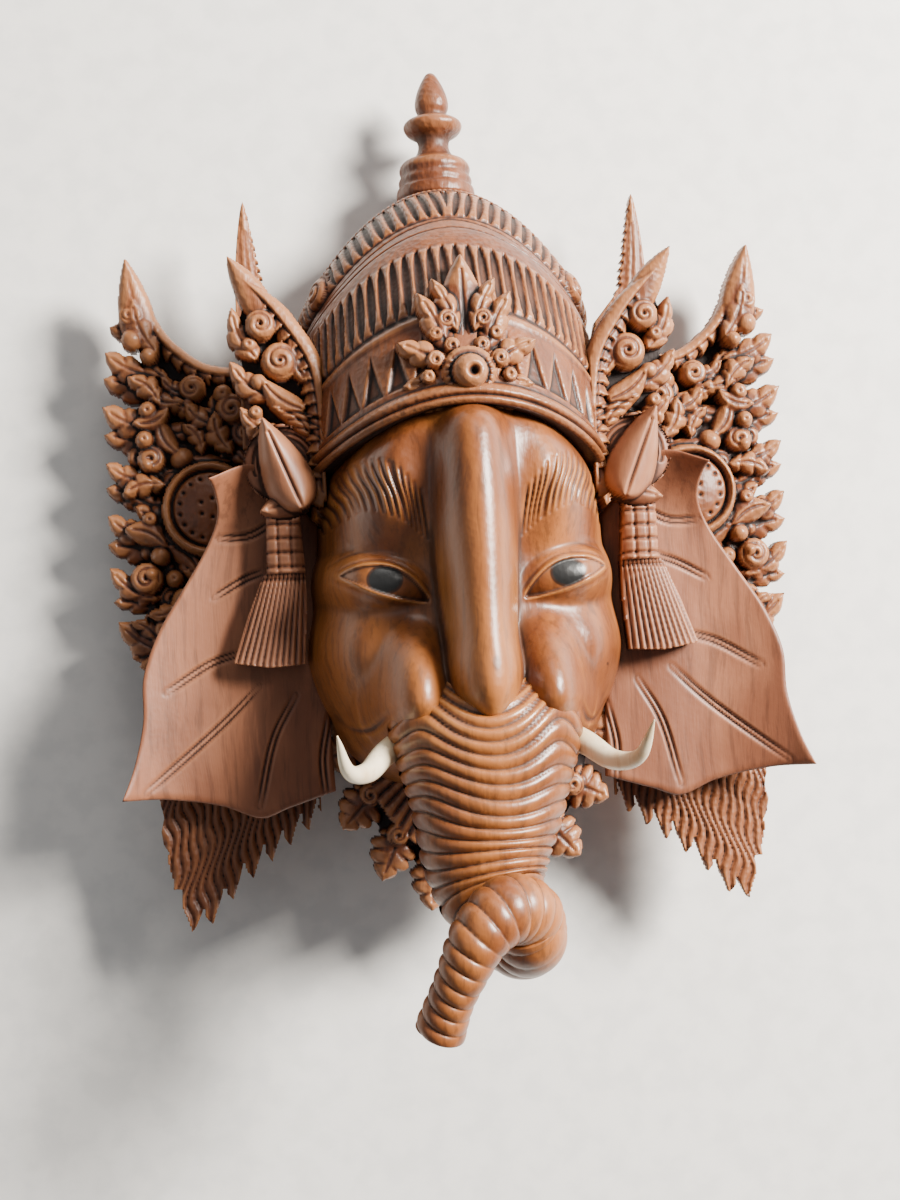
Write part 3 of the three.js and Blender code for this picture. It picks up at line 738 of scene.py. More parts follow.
crownDetail = {
    "columns": 350,
    "rows": 170,
    "edge": 26,
    "rope": 3.6,
    "chips": 9,
    "chip depth": 2.4,
    "flutes": 19,
    "flute depth": 2.8,
    "gadroons": 19,
    "gadroon depth": 2.6,
    "wall": 11,
    "top rows": 0.97,  # the grid's share below the rows that close the back at the top
    "side columns": 0.985,  # and its share inside the columns that close the sides
    "round": 0.72,
}
# heights on the drawing, sag at the sides, depth and half width of each tier from the rope up
tierAt = range(7)
tierTop = through(*zip(tierAt, (82, 94, 128, 170, 186, 208, 213)))
tierSag = through(*zip(tierAt, (26, 27, 34, 42, 50, 55, 56)))
tierFront = through(*zip(tierAt, (151, 148, 134, 107, 90, 66, 40)))
tierHalf = through(*zip(tierAt, (75, 77, 77, 76, 75, 74, 72)))


def lensCut(phase, along, fill=0.86):
    # pointed gouge cuts side by side
    s = np.abs(phase % 1 - 0.5) * 2
    width = fill * np.sin(np.pi * np.clip(along, 0, 1)) ** 0.45 + 1e-6
    return np.sqrt(np.clip(1 - (s / width) ** 2, 0, 1)) * (along > 0) * (along < 1)


def crownCarving(across, tier):
    side = np.abs(across)
    # two ropes
    rope = np.sqrt(np.abs(np.sin(np.pi * tier / 0.46))) * (tier < 0.92)
    proud = crownDetail["rope"] * rope
    # a row of chip-cut triangles and the line above it
    f = (tier - 1.08) / 0.84
    tooth = 1 - np.abs((side * crownDetail["chips"]) % 1 * 2 - 1)
    chip = np.minimum(tooth - 1.05 * f, np.minimum(f * 3, 1)) * (f > 0) * (f < 1)
    proud -= crownDetail["chip depth"] * smoothStep(0, 0.3, chip)
    proud += 1.3 * groove(tier - 2.0, 0.045) - 0.9 * groove(tier - 2.1, 0.03)
    # flutes, and two lines that rise to the middle
    f = (tier - 2.12) / 0.82
    proud += 1.2 * smoothStep(0, 0.06, f) * smoothStep(1, 0.94, f)
    proud -= crownDetail["flute depth"] * lensCut(side * crownDetail["flutes"] + 0.5, f)
    peak = 3.5 + 0.28 * (1 - np.clip(side / 0.5, 0, 1))
    for at in (peak - 0.22, peak + 0.22):
        proud -= 1.1 * groove(tier - at, 0.035)
    # leaning gadroons, with beads above and a line below
    f = (tier - 4.12) / 0.8
    proud += 3.2 * np.sqrt(np.clip(np.sin(np.pi * np.clip(f, 0, 1)), 0, 1))
    proud -= crownDetail["gadroon depth"] * lensCut(side * crownDetail["gadroons"] - 0.7 * f, f, 0.7)
    beads = np.abs(np.sin(np.pi * across * 42))
    proud += 1.3 * np.sqrt(np.clip(1 - ((tier - 5.05) / 0.09) ** 2, 0, 1)) * beads
    proud -= 0.8 * groove(tier - 4.06, 0.03)
    # a curled knob on each side
    knobX, knobY = (side - 0.66) / 0.075, (tier - 4.45) / 0.42
    curl, turn = np.hypot(knobX, knobY), np.arctan2(knobY, knobX)
    swirl = groove((curl * 2.4 - turn / (2 * np.pi)) % 1 - 0.5, 0.13)
    knob = 7 * np.sqrt(np.clip(1 - curl**2, 0, 1)) - 1.4 * swirl * (curl < 0.9)
    return np.where(curl < 1, np.maximum(proud * 0.3, knob), proud)


def makeCrown():
    bm, u, v = newGrid(crownDetail["columns"], crownDetail["rows"])
    top = crownDetail["top rows"]
    a = (2 * u - 1) / crownDetail["side columns"]
    drop = np.clip((np.abs(a) - 1) / 0.012, 0, 1)
    across = np.clip(a, -1, 1)
    tier = np.clip(v / top, 0, 1) * 6
    shut = np.clip((v - top) / 0.03, 0, 1)
    proud = crownCarving(across, tier)
    relief = reliefOf(proud, crownDetail["columns"], crownDetail["rows"], 0.7, 1.6)
    reach = np.sin(across * np.pi / 2)
    rise = np.clip(np.cos(across * np.pi / 2), 0, 1) ** crownDetail["round"]
    x = (tierHalf(tier) + proud * np.abs(reach)) * reach * (1 - 0.2 * shut)
    y = tierTop(tier) - tierSag(tier) * reach**2
    z = (lerp(crownDetail["edge"], tierFront(tier), rise) + proud * rise) * (1 - np.maximum(drop, shut))
    moveVerts(bm, x, y, z, lerp(relief, 0.5, np.maximum(drop, shut)))
    # the plain inner side, open below into the hollow of the head
    outer = [e for e in bm.edges if e.is_boundary]
    made = bmesh.ops.create_grid(bm, x_segments=64, y_segments=40, size=0.5)["verts"]
    layer = bm.verts.layers.float["relief"]
    for vert in made:
        a, lid = 2 * vert.co.x, min(1, (0.5 - vert.co.y) / 0.05)
        tier = 0.02 + 2.85 * min(1, (vert.co.y + 0.5) / 0.95)
        reach = math.sin(a * math.pi / 2)
        rise = max(0, math.cos(a * math.pi / 2)) ** crownDetail["round"]
        foot = crownDetail["edge"] * max(0, min(1, (1 - abs(a)) / 0.04))
        front = lerp(foot, tierFront(tier) - crownDetail["wall"], rise)
        x = (tierHalf(tier) - crownDetail["wall"]) * reach
        vert.co = (x, tierTop(tier) - tierSag(tier) * reach**2 + 1, front * lid)
        vert[layer] = 0.5
    joinInner(bm, outer, made)
    woodPiece(bm, "crown", crownWood)


makeCrown()

finialProfile = [
    # radius and height on the drawing: rings, neck, disc and bud
    (0, 205), (20, 205), (21, 209), (20, 212), (21, 214), (20.6, 218), (19.4, 220), (19.6, 223), (18.4, 226),
    (19, 229.5), (17, 233), (12, 235.5), (9.4, 238), (8.2, 242), (9.2, 246), (13.6, 249), (15.6, 252),
    (15.2, 254.6), (12.4, 256.6), (8.4, 257.6), (7.6, 259.5), (8.9, 263), (8.9, 267), (7.6, 272), (5.4, 277),
    (2.6, 281.6), (0, finialTip),
]
finialDepth = 31


def makeFinial():
    bm = bmesh.new()
    line = smoothLine([(r, y, 0) for r, y in finialProfile], 4)
    layer = bm.verts.layers.float.new("relief")
    profile = [bm.verts.new((max(r, 0), y, 0)) for r, y, _ in line]
    radius = np.array([max(r, 0) for r, _, _ in line])
    smooth = np.convolve(np.pad(radius, 6, mode="edge"), np.ones(13) / 13, mode="valid")
    # the necks are painted darker and the bulges lighter, as painted shade and highlight over stained and worn
    # wood
    for vert, value in zip(profile, np.clip(0.5 + (radius - smooth) / 5, 0, 1)):  # dark in its necks
        vert[layer] = value
    edges = [bm.edges.new(pair) for pair in zip(profile[:-1], profile[1:])]
    bmesh.ops.spin(
        bm, geom=profile + edges, cent=(0, 0, 0), axis=(0, 1, 0), angle=2 * math.pi, steps=88, use_merge=True
    )
    bmesh.ops.remove_doubles(bm, verts=bm.verts, dist=0.01)
    bmesh.ops.translate(bm, vec=(0, 0, finialDepth), verts=bm.verts)
    woodPiece(bm, "finial", crownWood)


makeFinial()
print("crown carved")

# carved leaf work


def leafShape(x, y, leaf):
    # a lobed leaf: a midrib, side veins between the lobes, and a pointed tip
    (ax, ay), (bx, by) = leaf["root"], leaf["tip"]
    length = math.hypot(bx - ax, by - ay)
    dx, dy = (bx - ax) / length, (by - ay) / length
    t = ((x - ax) * dx + (y - ay) * dy) / length
    s = (y - ay) * dx - (x - ax) * dy
    t1 = np.clip(t, 0, 1)
    s = s - leaf.get("bow", 0) * np.sin(np.pi * t1)
    lobes = leaf.get("lobes", 0)
    half = leaf["width"] / 2 * np.sin(np.pi * t1 ** leaf.get("widest", 0.72)) ** 0.7 + 0.001
    if "saw" in leaf:
        half = half * np.where(s > 0, 1 - 0.34 * ((t1 * leaf["saw"]) % 1), 1)
    q = np.abs(s) / half
    notch = 0.0
    if lobes:
        phase = (t1 * lobes + 0.3 - 0.45 * q) % 1
        half = half * (0.72 + 0.28 * np.sin(np.pi * phase) ** 0.6)
        q = np.abs(s) / half
        notch = groove(np.minimum(phase, 1 - phase), 0.13) * np.clip(q * 1.6, 0, 1)
    inside = np.minimum((1 - q) * half, np.minimum(t, 1 - t) * length + 0.3)
    rise = leaf["rise"] * np.sqrt(np.clip(1 - q * q, 0, 1)) + leaf.get("lift", 0) * t1
    cut = leaf.get("cut", 1.1)
    rise = rise - cut * groove(s, 0.8) * (t1 < 0.85) - cut * 0.8 * notch
    return rise, inside


def scrollShape(x, y, scroll):
    # a round curl cut with a spiral, with a drilled eye
    cx, cy = scroll["centre"]
    radius, hand = scroll["radius"], scroll.get("hand", 1)
    r = np.hypot(x - cx, y - cy)
    turn = np.arctan2(y - cy, (x - cx) * hand) / (2 * np.pi)
    pitch = scroll.get("pitch", 3.4)
    phase = (r / pitch - turn) % 1
    rise = scroll["rise"] * np.clip(1 - (r / radius) ** 2, 0, 1) ** 0.35
    rise -= 1.2 * groove(np.minimum(phase, 1 - phase), 0.17) * (r > 1.4)
    rise -= scroll.get("pit", 2.8) * groove(r, 1.1)
    return rise, radius - r


def ballShape(x, y, ball):
    cx, cy = ball["centre"]
    r = np.hypot(x - cx, y - cy)
    rise = ball["rise"] * np.sqrt(np.clip(1 - (r / ball["radius"]) ** 2, 0, 1))
    return rise - ball.get("pit", 0) * groove(r, 1.0), ball["radius"] - r


def bandShape(x, y, band):
    # a flat-topped rim along a line, its inner half cut in overlapping steps
    d, along, side = lineDistance(x, y, smoothLine(band["line"], 8))
    stepped = side < 0
    step = (along * band["steps"]) % 1
    half = band["width"] / 2 * np.where(stepped, 1.15 - 0.4 * step, 0.8)
    half = half * (1 - 0.7 * smoothStep(0.78, 1, along))
    q = np.clip(d / half, 0, 1)
    rise = band["rise"] * np.sqrt(1 - q * q) ** 0.7
    rise -= np.where(stepped, 0.5 + 2 * step, 0) * smoothStep(0.5, 1.4, d)
    return rise - 0.9 * groove(d - 1.1, 0.5) * stepped, half - d


def leafAt(root, tip, width, **more):
    return {"shape": leafShape, "root": root, "tip": tip, "width": width} | more


def scrollAt(centre, radius, **more):
    return {"shape": scrollShape, "centre": centre, "radius": radius} | more


def ballAt(centre, radius, **more):
    return {"shape": ballShape, "centre": centre, "radius": radius} | more


def bandAlong(line, width, **more):
    return {"shape": bandShape, "line": line, "width": width} | more


def carve(x, y, ground, elements):
    # the highest of the elements over the ground, and how far inside any of them
    z = np.full(x.shape, float(ground))
    inside = np.full(x.shape, -9.0)
    for element in elements:
        rise, within = element["shape"](x, y, element)
        z = np.where(within > 0, np.maximum(z, element["base"] + rise), z)
        inside = np.maximum(inside, within)
    return z, inside


def makeBoard(name, detail, surface, material, bothSides=True):
    # surface gives the height and how far each point is inside the outline
    x0, y0, x1, y1 = detail["box"]
    cell = detail["cell"]
    columns, rows = round((x1 - x0) / cell), round((y1 - y0) / cell)
    bm, u, v = newGrid(columns, rows)
    x, y = lerp(x0, x1, u), lerp(y0, y1, v)
    z, inside = surface(x, y)
    relief = reliefOf(np.where(inside > -cell, z, z - 3), columns, rows, cell, detail.get("relief depth", 2.2))
    # the low ground between the carvings is painted darker, as painted shade over stained wood
    if "ground" in detail:
        relief = relief * lerp(0.2, 1, smoothStep(detail["ground"] + 0.5, detail["ground"] + 7, z))
    # vertices near the outline are drawn onto it, and those outside go
    slopeY, slopeX = np.gradient(inside.reshape(rows + 1, columns + 1), (y1 - y0) / rows, (x1 - x0) / columns)
    steep = np.maximum(slopeX**2 + slopeY**2, 0.25).ravel()
    edge = (np.abs(inside) <= 0.8 * cell) & (inside < 0.45 * cell)
    step = np.where(edge, np.clip(inside / steep, -cell, cell), 0)
    moveVerts(bm, x - step * slopeX.ravel(), y - step * slopeY.ravel(), z, relief)
    within = bm.verts.layers.float.new("within")
    for vert, value in zip(bm.verts, inside):
        vert[within] = value
    gone = [vert for vert, value in zip(bm.verts, inside) if value < -0.8 * cell]
    bmesh.ops.delete(bm, geom=gone, context="VERTS")
    loose = [vert for vert in bm.verts if not vert.link_faces]
    bmesh.ops.delete(bm, geom=loose, context="VERTS")
    # a flat back with a thinner edge
    layer = bm.verts.layers.float["relief"]
    made = bmesh.ops.extrude_face_region(bm, geom=list(bm.faces))["geom"]
    back = [vert for vert in made if isinstance(vert, bmesh.types.BMVert)]
    for vert in back:
        depth = smoothStep(0, detail.get("taper", 7), vert[within])
        vert.co.z = min(lerp(vert.co.z - detail["edge"], detail["back"], depth), vert.co.z - 2)
        vert[layer] = 0.5
    bm.normal_update()
    held = set(back)
    flat = [e for e in bm.edges if e.verts[0] in held and e.verts[1] in held]
    flat = [e for e in flat if all(abs(f.normal.z) > 0.999 for f in e.link_faces)]
    level = [vert for vert in back if abs(vert.co.z - detail["back"]) < 0.001]
    bmesh.ops.dissolve_limit(bm, angle_limit=0.02, use_dissolve_boundaries=False, verts=level, edges=flat)
    bmesh.ops.triangulate(bm, faces=[f for f in bm.faces if len(f.verts) > 4])
    woodPiece(bm, name, material, bothSides)


# the crown's flower

flowerDetail = {"box": (-36, 78, 36, 160), "cell": 0.58, "back": 118, "edge": 12, "relief depth": 1.6}
flowerBoss = (0, 97)
flowerParts = [leafAt((0, 108), (0, 157), 25, rise=7, base=134, lift=-8, cut=1.0, widest=0.62)]
for hand in (-1, 1):
    for (rootX, rootY), (tipX, tipY), width, base in [
        ((8, 106), (22, 137), 14, 138),
        ((10, 100), (33, 113), 14, 140),
        ((8, 92), (31, 92), 13, 140),
        ((4, 118), (15, 144), 11, 137),
        ((6, 86), (22, 81), 10, 140),
    ]:
        root, tip = (rootX * hand, rootY), (tipX * hand, tipY)
        flowerParts.append(
            leafAt(root, tip, width, rise=6, base=base, lift=-3, lobes=3, widest=0.9, bow=1.5 * hand)
        )
    for cx, cy, radius in [(8.5, 124, 5.4), (15, 104, 4.6), (7, 111, 4), (14, 117, 3.6), (19, 96, 3.4)]:
        base = 145 - 0.25 * (cy - 97)
        flowerParts.append(scrollAt((cx * hand, cy), radius, rise=5, base=base, hand=hand, pitch=2.2, pit=2.2))
flowerParts += [ballAt(flowerBoss, 13, rise=3, base=147), ballAt(flowerBoss, 8.4, rise=8, base=151)]


def flowerSurface(x, y):
    z, inside = carve(x, y, 128, flowerParts)
    # beads and rings round the boss, and a drilled hole a little off its middle
    cx, cy = flowerBoss
    r = np.hypot(x - cx, y - cy)
    turn = np.arctan2(y - cy, x - cx)
    z += 1.1 * groove(r - 10.4, 1.1) * (0.5 + 0.5 * np.cos(turn * 22)) * (y < 104)
    z -= 1.0 * groove(r - 8.3, 0.6) + 0.9 * groove(r - 12.4, 0.5) * (y < 106)
    return z - 6 * groove(np.hypot(x - 1.2, y - 96.5), 2.3), inside


makeBoard("crownFlower", flowerDetail, flowerSurface, leafWood, bothSides=False)

# the wings beside the crown

wingDetail = {"box": (54, 44, 122, 172), "cell": 0.66, "back": 70, "edge": 9, "ground": 81}
wingBoard = [
    (60, 52), (60, 80), (60, 100), (68, 118), (78, 134), (92, 148), (103, 152),
    (106, 140), (104, 130), (106, 118), (102, 104), (103, 88), (97, 70), (90, 54),
]
wingRim = [(68, 52), (68, 70), (69, 98), (73, 117), (83, 134), (93, 147), (104, 158)]
wingParts = [
    bandAlong(wingRim, 15, rise=7, base=86, steps=19),
    leafAt((93, 138), (111, 169), 15, rise=5, base=86, lift=3, bow=1, cut=0, widest=0.6),
    scrollAt((96, 135), 7.5, rise=6, base=89, pitch=4.2, hand=-1),
    scrollAt((87, 117), 9.5, rise=7, base=87, pitch=4.8),
    leafAt((76, 92), (97, 109), 13, rise=6, base=86, bow=-3, cut=1.3),
    leafAt((74, 106), (82, 128), 9, rise=5, base=86, bow=-2, cut=1.2),
    leafAt((74, 80), (92, 94), 11, rise=6, base=86, bow=3, cut=1.3),
    leafAt((98, 118), (110, 145), 13, rise=5, base=84, lobes=3, bow=-3),
    leafAt((91, 99), (112, 118), 14, rise=5, base=84, lobes=3, bow=-3),
    leafAt((88, 80), (108, 95), 13, rise=5, base=84, lobes=3, bow=-3),
    ballAt((102, 126), 4, rise=4, base=87, pit=1.4),
    ballAt((98, 107), 4.2, rise=5, base=87),
    ballAt((100, 92), 3.6, rise=4, base=87, pit=1.4),
]


def wingSurface(x, y):
    z, inside = carve(x, y, 81, wingParts)
    # three arcs of a fan round the bud
    arc = np.hypot(x - 82, y - 66)
    fan = (arc > 15) & (y > 58)
    z -= 1.4 * (groove(arc - 17.5, 0.8) + groove(arc - 21.5, 0.8) + groove(arc - 25, 0.8)) * fan
    return z, np.minimum(np.maximum(inside, insidePolygon(x, y, wingBoard)), x - 67)


makeBoard("wing", wingDetail, wingSurface, leafWood)

# the tall spikes behind the wings

spikeDetail = {"box": (66, 78, 114, 214), "cell": 0.85, "back": 34, "edge": 7}
spikeParts = [
    leafAt((93, 112), (103, 210), 21, rise=6, base=41, bow=-2.5, widest=0.42, saw=24, cut=0.8),
    leafAt((78, 104), (92, 150), 18, rise=5, base=42, lobes=4),
    scrollAt((98, 124), 8, rise=6, base=46, pitch=3),
]
spikeBoard = [(68, 90), (80, 142), (93, 158), (103, 152), (108, 110), (108, 80)]


def spikeSurface(x, y):
    z, inside = carve(x, y, 46, spikeParts)
    return z, np.maximum(inside, insidePolygon(x, y, spikeBoard))


makeBoard("spike", spikeDetail, spikeSurface, leafWood)
print("wings and spikes carved")

# the leaf panels behind the ears

panelDetail = {"box": (66, -38, 182, 186), "cell": 0.82, "back": 15, "edge": 10, "taper": 10, "ground": 30}
panelEdge = through((-34, 160), (0, 170), (40, 171), (90, 171), (130, 169), (165, 163))
panelBoard = [
    (70, -34), (148, -34), (157, -10), (160, 30), (161, 80), (159, 130),
    (160, 156), (154, 148), (145, 137), (130, 124), (110, 119), (70, 121),
]
boss = {"centre": (126, 50), "radius": 25, "clear": 22, "hole rings": ((15.5, 17), (5, 5))}
panelRim = [(108, 120), (128, 124), (144, 136), (153, 148), (161, 166)]
panelParts = [
    bandAlong(panelRim, 11, rise=7, base=33, steps=10),
    leafAt((158, 136), (165, 183), 19, rise=6, base=36, lift=2, widest=0.6, cut=0.6),
    leafAt((150, 132), (162, 162), 14, rise=6, base=38, lobes=3, bow=-3, widest=1),
    scrollAt((164, 153), 5.5, rise=6, base=38, pitch=3.4),
    ballAt((163, 140), 6, rise=7, base=39),
]
chance = np.random.default_rng(11)
# leaves and balls up the outer edge
for i in range(13):
    y = -27 + 14.2 * i
    edge = float(panelEdge(y))
    odd = i % 2
    size, sway = chance.uniform(0.85, 1.2), chance.uniform(-4, 4)
    root, tip = (edge - 19 * size, y - 8 + sway), (edge + 4 + 4.5 * size, y + 5 - sway / 2)
    panelParts.append(
        leafAt(root, tip, 15 * size, rise=6, base=31 + 4 * odd, lobes=3, bow=3 * (1 - 2 * odd), widest=1.15)
    )
    if odd:
        place = (edge - 11 - 3 * size, y + 2)
        panelParts.append(ballAt(place, 4.2 * size, rise=6, base=41, pit=2 * (i % 4 == 1)))
# two layers of leaves, curls and balls over the field, the second lower and between the first
for i in range(144):
    row, column, low = i // 6 % 12, i % 6, i >= 72
    cx = 86 + 13.5 * column + 6.5 * ((row + low) % 2) + chance.uniform(-2.5, 2.5)
    cy = -24 + 12.4 * row + 6 * low + chance.uniform(-2.5, 2.5)
    if math.hypot(cx - boss["centre"][0], cy - boss["centre"][1]) > boss["clear"] and (cy < 116 or cx > 140):
        kind, size = (2 * row + 3 * column) % 5, chance.uniform(0.85, 1.2)
        base = chance.uniform(31, 33) if low else chance.uniform(35, 40)
        hand = 1 - 2 * ((row + column) % 2)
        if kind == 1:
            panelParts.append(scrollAt((cx, cy), 7.4 * size, rise=7, base=base, hand=hand, pitch=4.2))
        elif kind == 3:
            panelParts.append(ballAt((cx, cy), 5.4 * size, rise=8, base=base + 1, pit=1.8 * (row % 2)))
        else:
            lean = lerp(1.7, 0.1, column / 5) + chance.uniform(-0.7, 0.7)  # inner ones stand, outer ones lie
            dx, dy = 10.5 * size * math.cos(lean), 10.5 * size * math.sin(lean)
            leaf = leafAt((cx - dx, cy - dy), (cx + dx, cy + dy), 12.5 * size, rise=7, base=base)
            panelParts.append(leaf | {"lobes": 3 * (kind != 0), "bow": 3.2 * hand, "widest": 1.1, "cut": 1.3})


def panelSurface(x, y):
    z, inside = carve(x, y, 30, panelParts)
    # the round boss with its rim and two rings of drilled holes
    cx, cy = boss["centre"]
    r = np.hypot(x - cx, y - cy)
    turn = np.arctan2(y - cy, x - cx) / (2 * np.pi)
    dome = 53 - 5 * (r / 20) ** 2 - 2.5 * groove(r - 19.5, 0.8) + 4.5 * groove(r - 22.5, 1.9)
    for ring, holes in boss["hole rings"]:
        aside = ((turn * holes) % 1 - 0.5) * 2 * np.pi * r / holes
        dome -= 2.4 * groove(np.hypot(r - ring, aside), 0.9)
    z = np.where(r < boss["radius"], dome, z)
    return z, np.maximum(np.where(inside > 0, inside, -9), insidePolygon(x, y, panelBoard))


makeBoard("panel", panelDetail, panelSurface, leafWood)
print("panels carved")

# the locks of hair below the ears

hairDetail = {"box": (72, -170, 162, -14), "cell": 0.8, "back": 45, "edge": 5, "relief depth": 3.8}
hairTips = through((76, -112), (92, -124), (116, -143), (141, -166), (149, -150), (158, -122))


def hairSurface(x, y):
    fan = (x - 112) / (1 + 0.0032 * (-20 - y)) + 112
    wave = fan + 1.6 * np.sin(y / 8.5 + fan * 0.12) + 0.9 * np.sin(y / 4.1 + fan * 0.3)  # the strands sway
    lock = np.abs(np.sin(np.pi * wave / 3.1))  # one strand is 3.1 mm wide
    z = 51.6 + 2.3 * lock**0.6 + 1.4 * np.sin(wave / 9)
    # the ends of the locks below, and the jagged outer edge
    saw = (wave / 7.6) % 1
    low = hairTips(x) + 13 * np.abs(saw - 0.62) / 0.62
    outer = 155 + 4.5 * np.abs((y / 19) % 1 - 0.4)
    return z, np.minimum(np.minimum((y - low) * 0.5, outer - x), np.minimum(x - 76, -18 - y))


makeBoard("hair", hairDetail, hairSurface, leafWood)

# the collar behind the chin

collarDetail = {"box": (-82, -170, 82, -56), "cell": 0.8, "back": 52, "edge": 8, "ground": 59}
collar = {"middle": -62, "half width": 75, "half height": 98}
collarParts = []


def collarPoint(reach, turn):
    x = reach * collar["half width"] * math.cos(turn)
    return x, collar["middle"] + reach * collar["half height"] * math.sin(turn)


for i in range(9):
    turn = -math.pi * lerp(0.95, 0.05, i / 8)
    root, tip = collarPoint(0.74, turn), collarPoint(1.04, turn + 0.05)
    collarParts.append(leafAt(root, tip, 24, rise=6, base=62, lift=2, lobes=4, widest=0.8))
    centre = (root[0] * 1.06, collar["middle"] + (root[1] - collar["middle"]) * 1.06)
    collarParts.append(scrollAt(centre, 6, rise=5, base=67, hand=1 - 2 * (i % 2), pitch=2.8))


def collarSurface(x, y):
    across, up = x / collar["half width"], (y - collar["middle"]) / collar["half height"]
    r, turn = np.hypot(across, up), np.arctan2(up, across)
    flutes = 69 + 2.4 * np.abs(np.sin(turn * 34)) ** 0.7 + 3 * (0.8 - r)
    z, inside = carve(x, y, 60, collarParts)
    ring = np.minimum((0.84 - r) * 80, (r - 0.42) * 80)
    z = np.where((r < 0.76) & (ring > 0), np.maximum(flutes, np.where(inside > 1, z, 0)), z)
    head = np.where(y > -97, headHalfWidth(y) - 5 - np.abs(x), -9)  # it starts 5 mm inside the head
    return z, np.minimum(np.minimum(np.maximum(inside, ring), -57 - y), -head)


makeBoard("collar", collarDetail, collarSurface, leafWood, bothSides=False)
print("hair and collar carved")

# the ears

earDetail = {"columns": 155, "rows": 145, "back grid": (40, 40), "thickness": 6.5, "vein depth": 1.7}
# its outline and depth on the drawing
earOuter = through(
    (-96, 172), (-80, 166), (-58, 161), (-36, 160), (-14, 152),
    (6, 140), (24, 129), (42, 120.5), (56, 119), (70, 119),
)
earInner = through((-110, 68), (-60, 70), (0, 72), (70, 70))
earLow = through((60, -96), (88, -104), (102, -108), (122, -101), (150, -96), (172, -95))
earFlare = through((60, 70), (95, 76), (130, 78), (160, 84), (175, 94))
earTop = through((0, 36), (0.35, 58), (0.6, 71), (1, 67))
earVeins = [
    [(112, -26), (128, -31), (149, -44)],
    [(104, -43), (124, -62), (160, -92)],
    [(86, -48), (98, -70), (106, -102)],
    [(94, 38), (106, 32), (121, 31)],
    [(99, 14), (110, 10), (124, 2)],
    [(70, -60), (74, -80), (73, -98)],
]


def earSheet(columns, rows, veins):
    # a sheet that flares outwards and curls over at the top, with its cuts and the rounding of its rim
    bm, u, v = newGrid(columns, rows)
    y = lerp(earLow(lerp(62, 172, u)), earTop(u), v)
    x = lerp(earInner(y), earOuter(y), u)
    curl = np.clip((v - 0.74) / 0.26, 0, 1)
    z = earFlare(x) - 5 * np.sin(np.pi * u) * (1 - v) + 22 * curl**1.8 * u
    y = y - 8 * curl**3 * u
    x = x + 5 * curl**2 * u
    rim = np.minimum(np.minimum(u, 1 - u) * 90, np.minimum(v, 1 - v) * 120)
    cuts = np.zeros(x.shape)
    for vein in veins:
        d, along, side = lineDistance(x, y, smoothLine(vein, 8))
        taper = np.sin(np.pi * np.clip(along, 0.02, 0.98)) ** 0.5
        cuts -= earDetail["vein depth"] * taper * groove(np.abs(d * side - 0.4) - 1.2, 0.8)
    return bm, x, y, z, cuts, 1.2 * (1 - np.clip(rim / 2.5, 0, 1)) ** 2


def makeEar():
    bm, x, y, z, cuts, soft = earSheet(earDetail["columns"], earDetail["rows"], earVeins)
    relief = reliefOf(cuts, earDetail["columns"], earDetail["rows"], 0.9, 1.6)
    moveVerts(bm, x, y, z + cuts - soft, relief)
    back, x, y, z, _, soft = earSheet(*earDetail["back grid"], [])
    moveVerts(back, x, y, z - earDetail["thickness"] + soft)
    sheet = bpy.data.meshes.new("earBack")
    back.to_mesh(sheet)
    back.free()
    count = len(bm.verts)
    bm.from_mesh(sheet)
    bpy.data.meshes.remove(sheet)
    bm.verts.ensure_lookup_table()
    own = set(bm.verts[count:])
    outer = [e for e in bm.edges if e.is_boundary and e.verts[0] not in own]
    joinInner(bm, outer, own)
    woodPiece(bm, "ear", earWood, bothSides=True)


makeEar()
print("ears carved")

# the tassels with their buds

tasselDetail = {"box": (64, -36, 122, 92), "cell": 0.7, "back": 74, "edge": 9}
tasselOutline = [
    (81, 46), (97, 46), (98, 12), (100, 11), (108, -8), (116, -31), (98, -34), (81, -33), (79, -6), (79, 12),
]
budParts = [
    ballAt((88, 66), 19, rise=4, base=86),
    leafAt((79, 42), (97, 87), 25, rise=17, base=88, lift=2, widest=0.6, cut=1.7),
    leafAt((76, 48), (100, 42), 15, rise=9, base=88, widest=0.85),
    ballAt((80, 46), 5, rise=7, base=90),
]


def tasselSurface(x, y):
    # the skirt of threads, the bound knot above it and the bud on top
    t = np.clip((12 - y) / 44, 0, 1)
    left, right = lerp(79, 81, t), lerp(100, 116, t)
    a = np.clip((x - left) / (right - left), 0, 1)
    thread = (a * 11) % 1
    skirt = 86 + 5 * np.sin(np.pi * a) ** 0.6 - 1.5 * groove(thread - 0.5, 0.2) - 1.2 * groove(y - 9, 1.0)
    b = np.clip((x - 80) / 17.5, 0, 1)
    knot = 89 + 4.5 * np.sin(np.pi * b) ** 0.5
    for at in (15, 22, 29, 36):
        knot -= 1.5 * groove(y - at, 0.9)
    knot -= 1.2 * (groove(x - 85.5, 0.7) + groove(x - 92, 0.7))
    z = np.where(y > 12, knot, skirt)
    flower, inside = carve(x, y, 80, budParts)
    arc = np.hypot(x - 87, y - 66)
    flower -= 1.3 * (groove(arc - 12.5, 0.7) + groove(arc - 15.5, 0.7)) * (y > 60) * (flower < 92)
    z = np.where(inside > 0, flower, z)
    return z, np.maximum(inside, insidePolygon(x, y, tasselOutline))


makeBoard("tassel", tasselDetail, tasselSurface, earWood)

# the tusks

boneLook = {
    "body": (0.72, 0.62, 0.44),
    "warm": (0.55, 0.4, 0.22),
    "line": (0.42, 0.27, 0.13),
    "roughness": 0.28,
    "grain scale": 1.6,
    "subsurface": 0.12,
    "subsurface radius": (0.004, 0.003, 0.002),
    "bump": 0.15,
}


